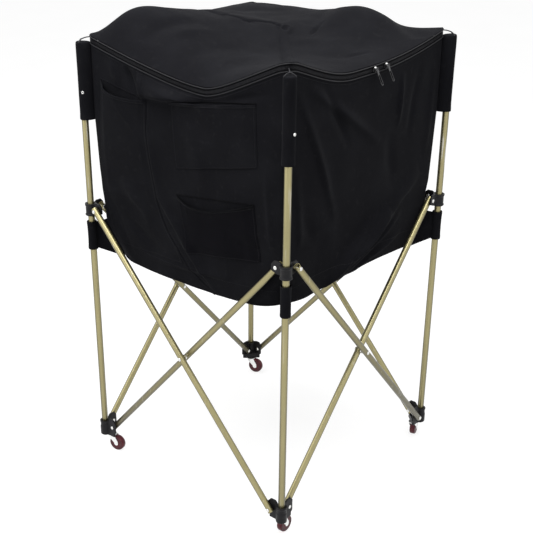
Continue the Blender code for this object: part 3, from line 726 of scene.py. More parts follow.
# The bag's walls
# Four panels of black coated polyester, hung from the sleeves at the corners. Each is one sheet that sags
# between its corners, with slack folds under the rim, drawn corners at the bottom and a turned hem.
# Each side: how far its rim sags, where it is lowest and how sharply, and how far the hem's middle hangs.
SIDES = {
    "front": {"dip": 0.066, "low": 0.070, "power": 1.25, "hang": 0.016},
    "right": {"dip": 0.038, "low": -0.050, "power": 1.9, "hang": -0.016},
    "back": {"dip": 0.020, "low": 0.0, "power": 2.0, "hang": 0.012},
    "left": {"dip": 0.0, "low": 0.0, "power": 2.0, "hang": 0.012},
}
RIM_HALF = 0.288
RIM_Z = 1.090
BAND_HEIGHT = 0.017
WALL_BOTTOM_Z, WALL_UPRIGHT_Z = 0.570, 0.900
CORNER_START_Z = 0.648
CORNER_RADIUS = 0.10
EDGE_RADIUS = 0.016
CLOTH = 0.0014
TAPE_GAP = 0.0007
TUBE_GAP = 0.0004
wall_top_z = RIM_Z - BAND_HEIGHT - TAPE_GAP
lean_inset = tube_offset + TUBE_RADIUS + RIVET_DOME + TUBE_GAP - (half - RIM_HALF)
wall_lean = lean_inset / (WALL_UPRIGHT_Z - high_pin_z)
# The front right leg pushes its corner of the rim up: the end of each side there, how far along it that fades
# out and how soon. The crest itself is rounded.
CREST_HEIGHT, CREST_ROUND, CREST_BEND = 0.020, 0.030, 6.3
CREST = {"front": (1, 0.218, 1), "right": (-1, 0.220, 2)}
SAG_ROUND = 0.12


def unit(value):
    """A value held to 0 and 1."""
    return max(0.0, min(1.0, value))


def rim_height(side, s):
    """How high a side's rim is at a place along it."""
    values = SIDES[side]
    span = RIM_HALF - values["low"] if s > values["low"] else RIM_HALF + values["low"]
    share = min(1.0, abs(s - values["low"]) / span)
    share = (math.hypot(share, SAG_ROUND) - SAG_ROUND) / (math.hypot(1, SAG_ROUND) - SAG_ROUND)
    crest = 0.0
    if side in CREST:
        end, reach, power = CREST[side]
        away = RIM_HALF - end * s
        crest = CREST_HEIGHT * math.sin(math.pi / 2 * max(0.0, 1 - away / reach)) ** power
        crest -= CREST_BEND * max(0.0, CREST_ROUND - away) ** 2
    return wall_top_z - values["dip"] * (1 - share ** values["power"]) + crest


def hem_height(side, s):
    """How high a side's hem is at a place along it."""
    return WALL_BOTTOM_Z - SIDES[side]["hang"] * (1 - (s / RIM_HALF) ** 2)


def wall_distance(z):
    """How far the walls stand from the bag's middle: they lean in towards the bottom, clear of the tubes."""
    return RIM_HALF - wall_lean * (WALL_UPRIGHT_Z - max(WALL_BOTTOM_Z, min(WALL_UPRIGHT_Z, z)))


def corner_radius(z):
    """How round the bag's corners are: tight down to the sliding hubs, and drawn in below them."""
    share = (CORNER_START_Z - z) / (CORNER_START_Z - WALL_BOTTOM_Z)
    return EDGE_RADIUS + (CORNER_RADIUS - EDGE_RADIUS) * unit(share)


def on_side(side, s, z, out=0.0):
    """The point of a side's cloth at a place along it and a height, moved out from its face."""
    radius = corner_radius(z)
    start = wall_distance(z) - radius
    past = min(radius, max(0.0, abs(s) - start))
    along = Vector((math.copysign(past, s), -radius)).normalized()
    flat = Vector((s, -start)) if past == 0 else Vector((math.copysign(start, s), -start))
    flat += along * (radius + out)
    return Matrix.Rotation(math.radians(TURNS[side]), 3, "Z") @ Vector((flat.x, flat.y, z))


def ridge(place, start, end, width, height, sharp=1.0):
    """How much one fold in the cloth lifts a place. It runs between two places and fades out at both. To the
    right of its run it falls away over the share sharp of its width."""
    run = Vector(end) - Vector(start)
    away = Vector(place) - Vector(start)
    share = away.dot(run) / run.length_squared
    if not 0 < share < 1:
        return 0.0
    aside = (away - run * share).length
    if run.x * away.y < run.y * away.x:
        aside /= sharp
    return height * math.sin(math.pi * share) ** 0.8 * math.exp(-((aside / width) ** 2))


# Each fold on a side: where it starts and ends, as place along the side and height, its width and its lift.
FOLDS = {
    "front": [
        ((-0.222, 1.062), (-0.190, 0.980), 0.011, 0.0065),
        ((-0.178, 1.060), (-0.132, 0.970), 0.008, -0.0090),
        ((-0.132, 1.052), (-0.108, 0.958), 0.009, 0.0085, 0.6),
        ((-0.130, 0.984), (0.060, 0.992), 0.034, 0.0230, 0.22),
        ((0.000, 0.997), (0.215, 1.062), 0.016, 0.0110, 0.40),
        ((-0.050, 0.979), (0.120, 0.999), 0.006, -0.0050),
        ((0.090, 0.997), (0.250, 1.040), 0.008, -0.0045),
        ((-0.203, 0.962), (-0.126, 0.888), 0.005, 0.0034),
        ((-0.088, 0.768), (0.058, 0.588), 0.013, 0.0085, 0.6),
        ((-0.045, 0.690), (0.092, 0.552), 0.008, 0.0050, 0.6),
        ((-0.195, 0.778), (-0.108, 0.686), 0.015, 0.0070),
        ((-0.215, 0.692), (-0.080, 0.606), 0.018, -0.0080),
        ((-0.280, 0.780), (-0.180, 0.570), 0.016, -0.0080),
        ((-0.105, 0.930), (-0.080, 0.740), 0.014, 0.0040, 0.5),
        ((0.130, 0.600), (0.260, 0.680), 0.014, -0.0040),
        ((0.235, 0.880), (0.250, 0.660), 0.012, 0.0060, 0.6),
        ((-0.150, 0.590), (0.150, 0.605), 0.010, 0.0045, 0.5),
        ((0.020, 0.960), (0.060, 0.820), 0.020, 0.0030),
    ],
    "right": [
        ((-0.140, 0.580), (0.092, 0.704), 0.020, 0.0260, 0.30),
        ((-0.130, 0.586), (0.050, 0.716), 0.007, 0.0070, 0.5),
        ((-0.120, 0.580), (0.130, 0.690), 0.010, 0.0090, 0.5),
        ((-0.100, 0.578), (0.180, 0.684), 0.014, 0.0120, 0.4),
        ((-0.060, 0.580), (0.250, 0.645), 0.010, 0.0090, 0.5),
        ((-0.050, 0.618), (0.220, 0.768), 0.026, 0.0150, 0.6),
        ((-0.262, 1.052), (-0.115, 0.730), 0.014, 0.0075, 0.6),
        ((-0.178, 1.048), (-0.082, 0.895), 0.011, -0.0060),
        ((-0.228, 1.048), (0.035, 0.878), 0.014, 0.0075, 0.6),
        ((0.118, 1.020), (0.106, 0.895), 0.010, 0.0070, 0.6),
        ((0.190, 1.030), (0.150, 0.860), 0.012, -0.0050),
        ((-0.262, 0.900), (-0.225, 0.640), 0.012, 0.0060, 0.6),
        ((-0.235, 0.800), (-0.150, 0.620), 0.014, -0.0050),
        ((0.070, 0.900), (0.110, 0.740), 0.020, -0.0050),
        ((0.255, 1.030), (0.235, 0.800), 0.010, 0.0050),
    ],
    "back": [
        ((-0.25, 1.03), (-0.08, 0.86), 0.022, 0.0035),
        ((0.24, 1.04), (0.09, 0.85), 0.022, 0.0035),
        ((-0.20, 0.60), (0.05, 0.67), 0.014, 0.0040),
        ((0.22, 0.62), (0.02, 0.72), 0.016, 0.0030),
    ],
    "left": [
        ((-0.24, 1.03), (-0.06, 0.88), 0.022, 0.0035),
        ((0.25, 1.04), (0.12, 0.86), 0.020, 0.0035),
        ((-0.22, 0.61), (0.04, 0.68), 0.014, 0.0040),
        ((0.20, 0.60), (0.06, 0.70), 0.014, 0.0030),
    ],
}
BELLY, BELLY_LOW_Z, BELLY_SPAN = 0.0060, 0.56, 0.5
SLACK = 0.0045
HELD_HEIGHT = 0.02
HUB_ZONE_Z, HUB_ZONE_S = 0.73, 0.12


def lift(side, s, z):
    """How far a side's cloth stands out from its flat face."""
    edge = 1 - min(1.0, abs(s) / RIM_HALF) ** 6
    top = rim_height(side, s)
    hold = min(1.0, (top - z) / HELD_HEIGHT) if z < top else 0.0
    broad = noise.noise(Vector((s * 5.5, z * 4.0, TURNS[side])))
    small = noise.noise(Vector((s * 17, z * 11, 7 + TURNS[side])))
    out = BELLY * math.sin(math.pi * unit((z - BELLY_LOW_Z) / BELLY_SPAN)) + SLACK * (broad + 0.35 * small)
    out += sum(ridge((s, z), *fold) for fold in FOLDS[side])
    out *= edge * hold
    # Beside the sliding hubs and the inner tube's end, the cloth is pressed in and never out.
    pressed = unit((HUB_ZONE_Z - z) / 0.03) * unit((abs(s) - HUB_ZONE_S) / 0.05)
    return out * (1 - pressed) + pressed * (min(0.0, out) - 0.0006)


def cloth(name, across, up, width, height, where, thickness=CLOTH):
    """A sheet of cloth: a grid laid by where(u, v), both from 0 to 1, with a UV map in metres."""
    piece = begin(
        name,
        bpy.ops.mesh.primitive_grid_add,
        x_subdivisions=across,
        y_subdivisions=up,
        size=1,
        location=(0.5, 0.5, 0),
    )
    for corner in piece.data.uv_layers.active.data:
        corner.uv = (corner.uv.x * width, corner.uv.y * height)
    for point in piece.data.vertices:
        point.co = where(point.co.x, point.co.y)
    settle(piece, "SOLIDIFY", thickness=thickness, offset=-1.0)
    smooth(piece, 50)
    return piece


def woven(name, dark, light, pitch=0.0011, relief=0.00016):
    """Plain-woven cloth: threads over and under, a little dust and faint rubbed patches."""
    made = Finish(name, {"Sheen Weight": 0.008, "Sheen Roughness": 0.6, "Specular IOR Level": 0.05})
    warp, weft = (made.maths("SINE", made.along(axis) * (math.tau / pitch)) for axis in (0, 1))
    threads = 0.5 + 0.5 * warp * weft
    slub = made.grain(420.0, 2.0, (1, 0.15, 1), "UV")
    rubbed = made.between(made.grain(11.0, 4.0), 0.40, 0.72)
    dust = made.between(made.grain(75.0, 5.0), 0.55, 0.85)
    share = 0.25 * threads + 0.45 * rubbed + 0.3 * slub
    shade = made.mix(share, dark, light)
    made.give(
        {
            "Base Color": made.mix(dust * 0.2, shade, (0.045, 0.045, 0.047)),
            "Roughness": 0.72 + 0.16 * threads,
            "Normal": made.bump(threads + 0.6 * slub, relief, 0.6),
        }
    )
    return made


FABRIC_DARK, FABRIC_LIGHT = (0.0058, 0.0058, 0.0076), (0.0118, 0.0120, 0.0146)
fabric = woven("black_polyester", FABRIC_DARK, FABRIC_LIGHT)
WALLS = {
    "front": ("frame_front_left", "x"),
    "right": ("frame_front_right", "y"),
    "back": ("frame_back_left", "x"),
    "left": ("frame_front_left", "y"),
}


def crumple(piece, axis):
    """Gives a soft piece a mesh of its own. The axis, X or Y, is not used."""
    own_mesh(piece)


def sewn(piece, finish, body, axis):
    """Gives a sewn-on piece its finish, its side of the bag to move with and a mesh of its own."""
    dress(piece, finish, body, "bag_cloth")
    crumple(piece, axis)
    return piece


for side, (body, axis) in WALLS.items():

    def laid(u, v, side=side):
        z_low = hem_height(side, (2 * u - 1) * RIM_HALF)
        z = z_low + v * (rim_height(side, (2 * u - 1) * RIM_HALF) - z_low)
        s = (2 * u - 1) * wall_distance(z)
        return on_side(side, s, z, lift(side, s, z))

    made = cloth(f"wall_{side}", 170, 140, 2 * RIM_HALF, 0.5, laid)
    dress(made, fabric, body, "bag_cloth", f"bag_{side}")
    crumple(made, axis)


# The bag's floor
# Two panels of the same cloth, sewn to the hems of the walls and to each other across the middle. They sag a
# little under the balls.
FLOOR_LIFT, FLOOR_SAG, FLOOR_WAVE = 0.004, 0.010, 0.003
# From this share of the way out, the floor follows the walls' belly.
FOLLOW_FROM = 0.8


def patch(edges, x, y):
    """The height of a smooth patch between four edge curves: front, right, back and left."""
    front, right, back, left = edges
    u = (x + RIM_HALF) / (2 * RIM_HALF)
    v = (y + RIM_HALF) / (2 * RIM_HALF)
    near = (1 - u) * front(-RIM_HALF) + u * front(RIM_HALF)
    far = (1 - u) * back(RIM_HALF) + u * back(-RIM_HALF)
    return (1 - v) * front(x) + v * back(-x) + (1 - u) * left(-y) + u * right(y) - (1 - v) * near - v * far


def rounded(x, y, half_width, radius):
    """A place on a square, moved in where the square's corners are rounded."""
    start = half_width - radius
    past_x = abs(x) - start
    past_y = abs(y) - start
    if min(past_x, past_y) <= 0:
        return x, y
    scale = max(past_x, past_y) / math.hypot(past_x, past_y)
    return math.copysign(start + past_x * scale, x), math.copysign(start + past_y * scale, y)


def waves(x, y, many, part):
    """Gentle waves over a flat sheet, so many to the metre, from a part of the noise of their own."""
    return noise.noise(Vector((x * many, y * many, part)))


def floor_point(x, y):
    """A place on the bag's floor. Its edges follow the walls where they belly."""
    edges = [lambda s, side=side: hem_height(side, s) + FLOOR_LIFT for side in SIDES]
    x_share, y_share = x / RIM_HALF, y / RIM_HALF
    within = (1 - x_share**6) * (1 - y_share**6)
    z = patch(edges, x, y) - FLOOR_SAG * (1 - x_share**2) * (1 - y_share**2)
    z += FLOOR_WAVE * within * waves(x, y, 9, 3)
    edge = wall_distance(WALL_BOTTOM_Z) - 0.0006
    x, y = x_share * edge, y_share * edge
    x_pull = lift("right" if x > 0 else "left", math.copysign(y, x * y), z)
    x_pull *= max(0.0, abs(x_share) - FOLLOW_FROM) / (1 - FOLLOW_FROM)
    y_pull = lift("back" if y > 0 else "front", math.copysign(x, -x * y), z)
    y_pull *= max(0.0, abs(y_share) - FOLLOW_FROM) / (1 - FOLLOW_FROM)
    x, y = rounded(x, y, edge, CORNER_RADIUS)
    return Vector((x + math.copysign(x_pull, x), y + math.copysign(y_pull, y), z))


def halved(name, across, place):
    """A square sheet made in two halves: each one's name and its piece."""
    for label, low_x in (("left", -RIM_HALF), ("right", 0.0)):

        def laid(u, v, low_x=low_x):
            return place(low_x + u * RIM_HALF, (2 * v - 1) * RIM_HALF)

        yield label, cloth(f"{name}_{label}", across, 2 * across, RIM_HALF, 2 * RIM_HALF, laid)


for label, made in halved("floor_panel", 70, floor_point):
    dress(made, fabric, f"floor_{label}", "bag_cloth", f"bag_floor_{label}")
    crumple(made, "y")


# The lid
# One square of the cloth, cut full so that it rises over the balls. It is made here in two halves, because it
# creases across the middle when the cart folds. Its fold marks stay from the time it lay packed.
LID_DOME, LID_LIFT = 0.0649, 0.0022
LID_WAVE, LID_RIPPLE = 0.0030, 0.0014
# How squarely the lid's dome drops to each side: the higher, the steeper at the rim.
SHOULDER = {"front": 4.1, "right": 1.8, "back": 4.4, "left": 3.9}
# The balls push it up at these places: across, along, how wide and how high.
LOBES = (
    (-0.217, -0.176, 0.178, 0.0404),
    (0.119, 0.194, 0.100, 0.0431),
    (-0.243, -0.238, 0.074, 0.0350),
    (-0.029, -0.015, 0.097, 0.0197),
)
# The hinge side's rim is straight, and the lid's cloth sags beside it: how far, and over what width.
HINGE_SAG, HINGE_WIDTH = 0.017, 0.060
# Each fold on the lid: its start and end as places across it, its width and its lift.
LID_FOLDS = [
    ((-0.200, -0.010), (-0.095, -0.036), 0.012, -0.0090),
    ((-0.135, -0.026), (-0.012, -0.030), 0.0055, -0.0065, 0.6),
    ((-0.048, -0.042), (0.006, 0.030), 0.0055, -0.0065, 0.6),
    ((-0.012, 0.018), (0.042, 0.018), 0.0050, -0.0055),
    ((-0.120, 0.020), (0.010, 0.060), 0.030, -0.0050),
    ((0.020, 0.006), (0.031, 0.044), 0.0045, 0.0040),
    ((0.031, 0.044), (0.052, 0.008), 0.0045, 0.0036),
    ((-0.190, 0.020), (-0.100, 0.120), 0.030, -0.0060),
    ((-0.130, 0.180), (0.000, 0.165), 0.035, 0.0040),
    ((0.020, 0.018), (0.288, -0.288), 0.0045, -0.0042),
    ((0.034, 0.022), (0.296, -0.278), 0.0050, 0.0034),
    ((0.090, 0.040), (0.072, 0.112), 0.0060, -0.0055, 0.6),
    ((0.070, 0.080), (0.020, 0.200), 0.020, -0.0060),
    ((0.225, -0.015), (0.245, 0.055), 0.0060, -0.0034),
    ((0.060, 0.000), (0.210, 0.060), 0.025, 0.0045),
    ((0.120, -0.060), (0.250, -0.010), 0.020, -0.0030),
    ((0.160, 0.260), (0.275, 0.205), 0.028, -0.0080),
    ((-0.150, -0.275), (-0.090, -0.120), 0.016, -0.0050),
    ((-0.110, -0.275), (-0.050, -0.130), 0.014, 0.0040),
    ((-0.040, -0.270), (0.040, -0.120), 0.024, -0.0036),
    ((0.050, -0.260), (0.090, -0.120), 0.020, 0.0036),
]


def lid_point(x, y):
    """A place on the lid: a domed patch between the rims, pushed up in lobes and creased by its folds."""
    edges = [lambda s, side=side: rim_height(side, s) + BAND_HEIGHT for side in SIDES]
    x_share, y_share = abs(x) / RIM_HALF, abs(y) / RIM_HALF
    across = 1 - x_share ** SHOULDER["right" if x > 0 else "left"]
    along = 1 - y_share ** SHOULDER["back" if y > 0 else "front"]
    within = (1 - x_share**6) * (1 - y_share**6)
    rise = LID_DOME * across * along
    inside = 1 - max(0.0, 1 - (x + RIM_HALF) / HINGE_WIDTH) ** 2
    rise -= HINGE_SAG * inside * (RIM_HALF - x) / (2 * RIM_HALF) * (1 - y_share**2)
    for middle_x, middle_y, width, height in LOBES:
        rise += height * within * math.exp(-((x - middle_x) ** 2 + (y - middle_y) ** 2) / width**2)
    rise += within * (LID_WAVE * waves(x, y, 9, 11) + LID_RIPPLE * waves(x, y, 26, 17))
    rise += sum(ridge((x, y), *fold) for fold in LID_FOLDS)
    flat_x, flat_y = rounded(x, y, RIM_HALF, EDGE_RADIUS)
    return Vector((flat_x, flat_y, patch(edges, x, y) + rise + LID_LIFT))


for label, made in halved("lid_panel", 110, lid_point):
    dress(made, fabric, f"lid_{label}_half", "bag_cloth", f"lid_{label}")
    crumple(made, "y")


# The zip
# A long coil zip joins the lid to the walls on three sides, between two lines of satin piping. On the left
# side the lid is sewn down instead, along the same band of tape.
def track(side, up, out, steps=150):
    """A line along a side's band, at a height above the rim and a distance out from the cloth's face."""
    ends = [(2 * step / steps - 1) * RIM_HALF for step in range(steps + 1)]
    return [on_side(side, s, rim_height(side, s) + up, out) for s in ends]


def beading(name, points, radius):
    """A thin round bead along a line."""
    curve = bpy.data.curves.new(name, "CURVE")
    curve.dimensions = "3D"
    curve.bevel_depth = radius
    curve.bevel_resolution = 2
    curve.use_fill_caps = True
    spline = curve.splines.new("POLY")
    spline.points.add(len(points) - 1)
    for place, point in zip(spline.points, points):
        place.co = (*point, 1.0)
    made = bpy.data.objects.new(name, curve)
    bpy.context.scene.collection.objects.link(made)
    take(made)
    bpy.ops.object.convert(target="MESH")
    smooth(bpy.context.object, 60)
    return bpy.context.object


def repeated(name, small, places):
    """One mesh with a copy of a small piece at each place."""
    points = []
    faces = []
    for number, place in enumerate(places):
        points += [place @ point.co for point in small.data.vertices]
        first = number * len(small.data.vertices)
        faces += [[first + index for index in face.vertices] for face in small.data.polygons]
    mesh = bpy.data.meshes.new(name)
    mesh.from_pydata(points, [], faces)
    made = bpy.data.objects.new(name, mesh)
    bpy.context.scene.collection.objects.link(made)
    smooth(made, 50)
    return made


def along_line(points, pitch, away):
    """Places along a line, one pitch apart. X runs on along it and Z points away from the cloth."""
    places = []
    left_over = 0.0
    for start, end in zip(points, points[1:]):
        run = end - start
        x = run.normalized()
        while left_over < run.length:
            middle = start + x * left_over
            z = (away(middle) - x * away(middle).dot(x)).normalized()
            place = Matrix((x, z.cross(x), z)).transposed().to_4x4()
            place.translation = middle
            places.append(place)
            left_over += pitch
        left_over -= run.length
    return places


def outward(point):
    """Away from the bag's middle, level."""
    x_first = abs(point.x) > abs(point.y)
    return Vector((math.copysign(1, point.x), 0, 0)) if x_first else Vector((0, math.copysign(1, point.y), 0))


tooth = begin("tooth", bpy.ops.mesh.primitive_cube_add, size=1, scale=(0.0011, 0.0042, 0.0010))
tooth.data.transform(Matrix.Rotation(math.radians(24), 4, "Z"))
settle(tooth, "BEVEL", width=0.0003, segments=1)

tape = woven("zip_tape", (0.0022, 0.0022, 0.0030), (0.0065, 0.0065, 0.0078), 0.0008, 0.00010)
satin = speckled(
    "satin_piping",
    {"Specular IOR Level": 0.22},
    grain=(1100.0, 2.0),
    colours=((0.010, 0.010, 0.012), (0.034, 0.034, 0.038)),
    roughness=(0.38, 0.2),
    relief=(0.0002, 0.6),
)
coil = speckled(
    "coil_nylon",
    {"Specular IOR Level": 0.2},
    grain=(300.0, 2.0),
    colours=((0.006, 0.006, 0.008), (0.022, 0.022, 0.026)),
    roughness=(0.36, 0.2),
    relief=(0.0001, 0.4),
)
BANDS = {
    "front": ("zip_tape_front", "zip_front", "frame_front_left", "x"),
    "right": ("zip_tape_right", "zip_right", "zip_track_right", "y"),
    "back": ("zip_tape_back", "zip_back", "frame_back_left", "x"),
    "left": ("seam_tape_left", "lid_seam", "lid_hinge_strip", "y"),
}
SLIDER_PLACES = {"near": 0.003, "far": 0.045}
TAPE_THICKNESS, TAPE_OUT, TAPE_HOLLOW = 0.0012, 0.0008, 0.0010
PIPING_RADIUS, PIPING_OUT = 0.00115, 0.0010
COIL_PITCH, COIL_OUT = 0.0024, 0.0004


def crumple_zip(piece, axis):
    """Gives a band a mesh of its own, through crumple except on the right side, where the near slider rides
    on it.
    """
    if axis == "x" or "left" in piece.name:
        crumple(piece, axis)
    else:
        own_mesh(piece)


for side, (name, node, body, axis) in BANDS.items():

    def taped(u, v, side=side):
        s = (2 * u - 1) * RIM_HALF
        z = rim_height(side, s) + TAPE_GAP + v * (BAND_HEIGHT - 2 * TAPE_GAP)
        return on_side(side, s, z, TAPE_OUT - TAPE_HOLLOW * math.sin(math.pi * v))

    strip = cloth(name, 150, 6, 2 * RIM_HALF, BAND_HEIGHT, taped, TAPE_THICKNESS)
    dress(strip, tape, body, "zip_tape", node)
    lines = []
    for label, up in (("low", 0.0012), ("high", BAND_HEIGHT - 0.0004)):
        line = beading(f"piping_{side}_{label}", track(side, up, PIPING_OUT), PIPING_RADIUS)
        lines.append(dress(line, satin, body, "zip_tape"))
    if side != "left":
        for label, up in (("low", 0.0071), ("high", 0.0102)):
            places = along_line(track(side, up, COIL_OUT), COIL_PITCH, outward)
            row = repeated(f"coil_{side}_{label}", tooth, places)
            lines.append(dress(row, coil, body, "zip_tape"))
    for piece in (strip, *lines):
        crumple_zip(piece, axis)
bpy.data.objects.remove(tooth)


# The pockets
# Three patch pockets are sewn to the front wall: a tall one at the left, a square one under the rim and one
# of net with an elastic mouth. Each is top-stitched down its sides, and its mouth stands a little open.

# Each pocket's left and right sides, as places along the wall and heights, from its mouth down. The tall
# pocket's cloth runs on to the hem below its bottom, and its right side bends in with the seam there.
POCKETS = {
    "pocket_large": {
        "left": [(-0.250, 0.997), (-0.262, 0.850), (-0.262, 0.705), (-0.242, 0.602)],
        "right": [
            (-0.105, 0.970),
            (-0.108, 0.904),
            (-0.099, 0.825),
            (-0.086, 0.740),
            (-0.063, 0.681),
            (-0.036, 0.645),
            (-0.014, 0.606),
        ],
        "bottom": 0.705,
    },
    "pocket_upper": {
        "left": [(-0.030, 0.981), (-0.020, 0.834)],
        "right": [(0.207, 1.012), (0.215, 0.883)],
        "bottom": 0.834,
    },
    "pocket_mesh": {
        "left": [(-0.021, 0.772), (0.004, 0.640)],
        "right": [(0.204, 0.799), (0.216, 0.672)],
        "bottom": 0.640,
    },
}
# How far each mouth stands open and sags at its loosest, where across it that is, and how full the pocket is.
GAPE = {
    "pocket_large": {"open": 0.012, "sag": 0.017, "at": 0.32, "full": 0.0022},
    "pocket_upper": {"open": 0.007, "sag": 0.003, "at": 0.45, "full": 0.0018},
    "pocket_mesh": {"open": 0.011, "sag": 0.024, "at": 0.42, "full": 0.0035},
}
LOOSE_FROM = 0.35
PATCH_OUT = 0.0009


def along_curve(points, share):
    """A place on a smooth curve through points, from 0 at the first to 1 at the last, with its direction."""
    number = min(int(share * (len(points) - 1)), len(points) - 2)
    step = share * (len(points) - 1) - number
    near_four = (max(0, number - 1), number, number + 1, min(len(points) - 1, number + 2))
    before, start, end, after = (Vector(points[index]) for index in near_four)
    bend = (2 * before - 5 * start + 4 * end - after) * step**2
    bend += (3 * start - before - 3 * end + after) * step**3
    return start + 0.5 * ((end - before) * step + bend), (end - start).normalized()


def pocket_point(name, u, v, out=0.0):
    """A place on a pocket's cloth, across it and up it, from 0 to 1, on the wall as it bellies there."""
    shape, gape = POCKETS[name], GAPE[name]
    left, right = (along_curve(shape[edge], 1 - v)[0] for edge in ("left", "right"))
    s, z = left.lerp(right, u)
    loose = math.sin(math.pi * u ** (math.log(0.5) / math.log(gape["at"])))
    near_mouth = max(0.0, (v - LOOSE_FROM) / (1 - LOOSE_FROM)) ** 2
    z -= gape["sag"] * loose * near_mouth
    held = min(1.0, 8 * u, 8 * (1 - u))
    filled = unit((z - shape["bottom"]) / 0.030) * gape["full"]
    proud = PATCH_OUT + held * (filled + gape["open"] * loose * near_mouth)
    return on_side("front", s, z, lift("front", s, z) + proud + out)


thread = begin("thread", bpy.ops.mesh.primitive_cylinder_add, vertices=6, radius=0.00035, depth=0.0030)
thread.data.transform(Matrix.Rotation(math.pi / 2, 4, "Y"))
sewing = speckled(
    "sewing_thread",
    {"Specular IOR Level": 0.2},
    grain=(2400.0, 1.0),
    colours=((0.005, 0.005, 0.007), (0.014, 0.014, 0.017)),
    roughness=(0.45, 0.2),
    relief=(0.0001, 0.4),
)
STITCH = 0.0045


def stitched(name, points):
    """A row of stitches along a line on the cloth."""
    return repeated(name, thread, along_line(points, STITCH, outward))


net = Finish("black_net", {"Specular IOR Level": 0.05})
NET_PITCH, NET_OPEN = 0.0022, 0.62
net_u, net_v = net.along(0), net.along(1)
one_way = net.maths("SINE", (net_u + net_v) * (math.pi / NET_PITCH))
other_way = net.maths("SINE", (net_u - net_v) * (math.pi / NET_PITCH))
strands = net.maths("MAXIMUM", one_way * one_way, other_way * other_way)
net.give(
    {
        "Base Color": net.mix(strands, (0.0026, 0.0024, 0.0038), (0.0066, 0.0064, 0.0088)),
        "Roughness": 0.50 + 0.2 * strands,
        "Alpha": strands > NET_OPEN,
        "Normal": net.bump(strands, 0.0003, 0.6),
    }
)
HEM_WIDTH, HEM_THICKNESS = 0.012, 0.0022
FACING_RADIUS = 0.0012
# A pocket's seam runs this share of its size in from its edge, down one side, across and up the other.
SEAM_INSET, SEAM_OUT = 0.02, 0.0002
seam_steps = [SEAM_INSET + (1 - 2 * SEAM_INSET) * step / 40 for step in range(41)]
for name, shape in POCKETS.items():
    width = shape["right"][-1][0] - shape["left"][-1][0]
    height = shape["left"][0][1] - shape["left"][-1][1]
    finish = net if name == "pocket_mesh" else fabric
    slot = "mesh_cloth" if name == "pocket_mesh" else "bag_cloth"

    def patched(u, v, name=name):
        return pocket_point(name, u, v)

    panel = cloth(f"{name}_panel", 60, 70, width, height, patched)
    dress(panel, finish, "frame_front_left", slot, name)
    hem_share = HEM_WIDTH / height

    def hemmed(u, v, name=name, hem_share=hem_share):
        return pocket_point(name, u, 1 + 0.03 * hem_share - hem_share * (1 - v), PATCH_OUT)

    hem = cloth(f"{name}_hem", 60, 6, width, HEM_WIDTH, hemmed, HEM_THICKNESS)
    sewn(hem, tape if name == "pocket_mesh" else fabric, "frame_front_left", "x")
    around = [pocket_point(name, SEAM_INSET, v, SEAM_OUT) for v in reversed(seam_steps)]
    around += [pocket_point(name, u, SEAM_INSET, SEAM_OUT) for u in seam_steps[1:]]
    around += [pocket_point(name, 1 - SEAM_INSET, v, SEAM_OUT) for v in seam_steps[1:]]
    seam = sewn(stitched(f"{name}_seam", around), sewing, "frame_front_left", "x")
    mouth_v, mouth_out = 1 - 0.85 * hem_share, PATCH_OUT + SEAM_OUT
    mouth_line = [pocket_point(name, step / 60, mouth_v, mouth_out) for step in range(61)]
    mouth_seam = sewn(stitched(f"{name}_mouth_seam", mouth_line), sewing, "frame_front_left", "x")
    facing_line = []
    for step in range(41):
        s, z = Vector(shape["left"][0]).lerp(Vector(shape["right"][0]), step / 40)
        facing_line.append(on_side("front", s, z + 0.0015, lift("front", s, z) + FACING_RADIUS / 2))
    facing = beading(f"{name}_facing", facing_line, FACING_RADIUS)
    sewn(facing, fabric if name == "pocket_large" else tape, "frame_front_left", "x")
    crumple(panel, "x")


# The seams of the walls
# The walls are top-stitched along the zip and above the hem, where the bottom's cloth turns up inside. On the
# front a folded welt carries the tall pocket's side seam on down to the hem.
def on_wall(side, s, z, out=0.0):
    """A place on a side's cloth as it bellies there."""
    return on_side(side, s, z, lift(side, s, z) + out)


SEAM_REACH = 0.93
RIM_SEAM_DROP, HEM_SEAM_RISE = 0.006, 0.042
wall_seams = {side: [] for side in WALLS}
for side, (body, axis) in WALLS.items():
    for label in ("rim", "hem"):
        points = []
        for step in range(121):
            s = (step / 60 - 1) * RIM_HALF * SEAM_REACH
            z = rim_height(side, s) - RIM_SEAM_DROP if label == "rim" else hem_height(side, s) + HEM_SEAM_RISE
            points.append(on_wall(side, s * wall_distance(z) / RIM_HALF, z, 0.0001))
        line = stitched(f"wall_{side}_{label}_seam", points)
        wall_seams[side].append(sewn(line, sewing, body, axis))

WELT = [
    *POCKETS["pocket_large"]["right"][:-1],
    (-0.011, 0.612),
    (0.022, 0.585),
    (0.058, 0.563),
    (0.080, 0.556),
]
WELT_WIDTH, WELT_THICKNESS, WELT_OUT = 0.006, 0.0012, 0.0016
WELT_SEAM_ASIDE = 0.0075


def welt_point(u, v):
    """A place on the welt, across it and up it, from 0 to 1."""
    place, run = along_curve(WELT, 1 - v)
    place += Vector((run.y, -run.x)) * (0.5 - u) * WELT_WIDTH
    return on_wall("front", place.x, place.y, WELT_OUT * math.sin(math.pi * min(1.0, 1 - 0.9 * u)) ** 0.5)


welt = cloth("front_welt", 6, 160, WELT_WIDTH, 0.50, welt_point, WELT_THICKNESS)
beside = [along_curve(WELT, step / 160) for step in range(161)]
beside = [place + Vector((-run.y, run.x)) * WELT_SEAM_ASIDE for place, run in beside]
welt_seam = stitched("front_welt_seam", [on_wall("front", place.x, place.y, 0.0001) for place in beside])
for piece, finish in ((welt, fabric), (welt_seam, sewing)):
    wall_seams["front"].append(sewn(piece, finish, "frame_front_left", "x"))
for side, seams in wall_seams.items():
    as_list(seams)
bpy.data.objects.remove(thread)


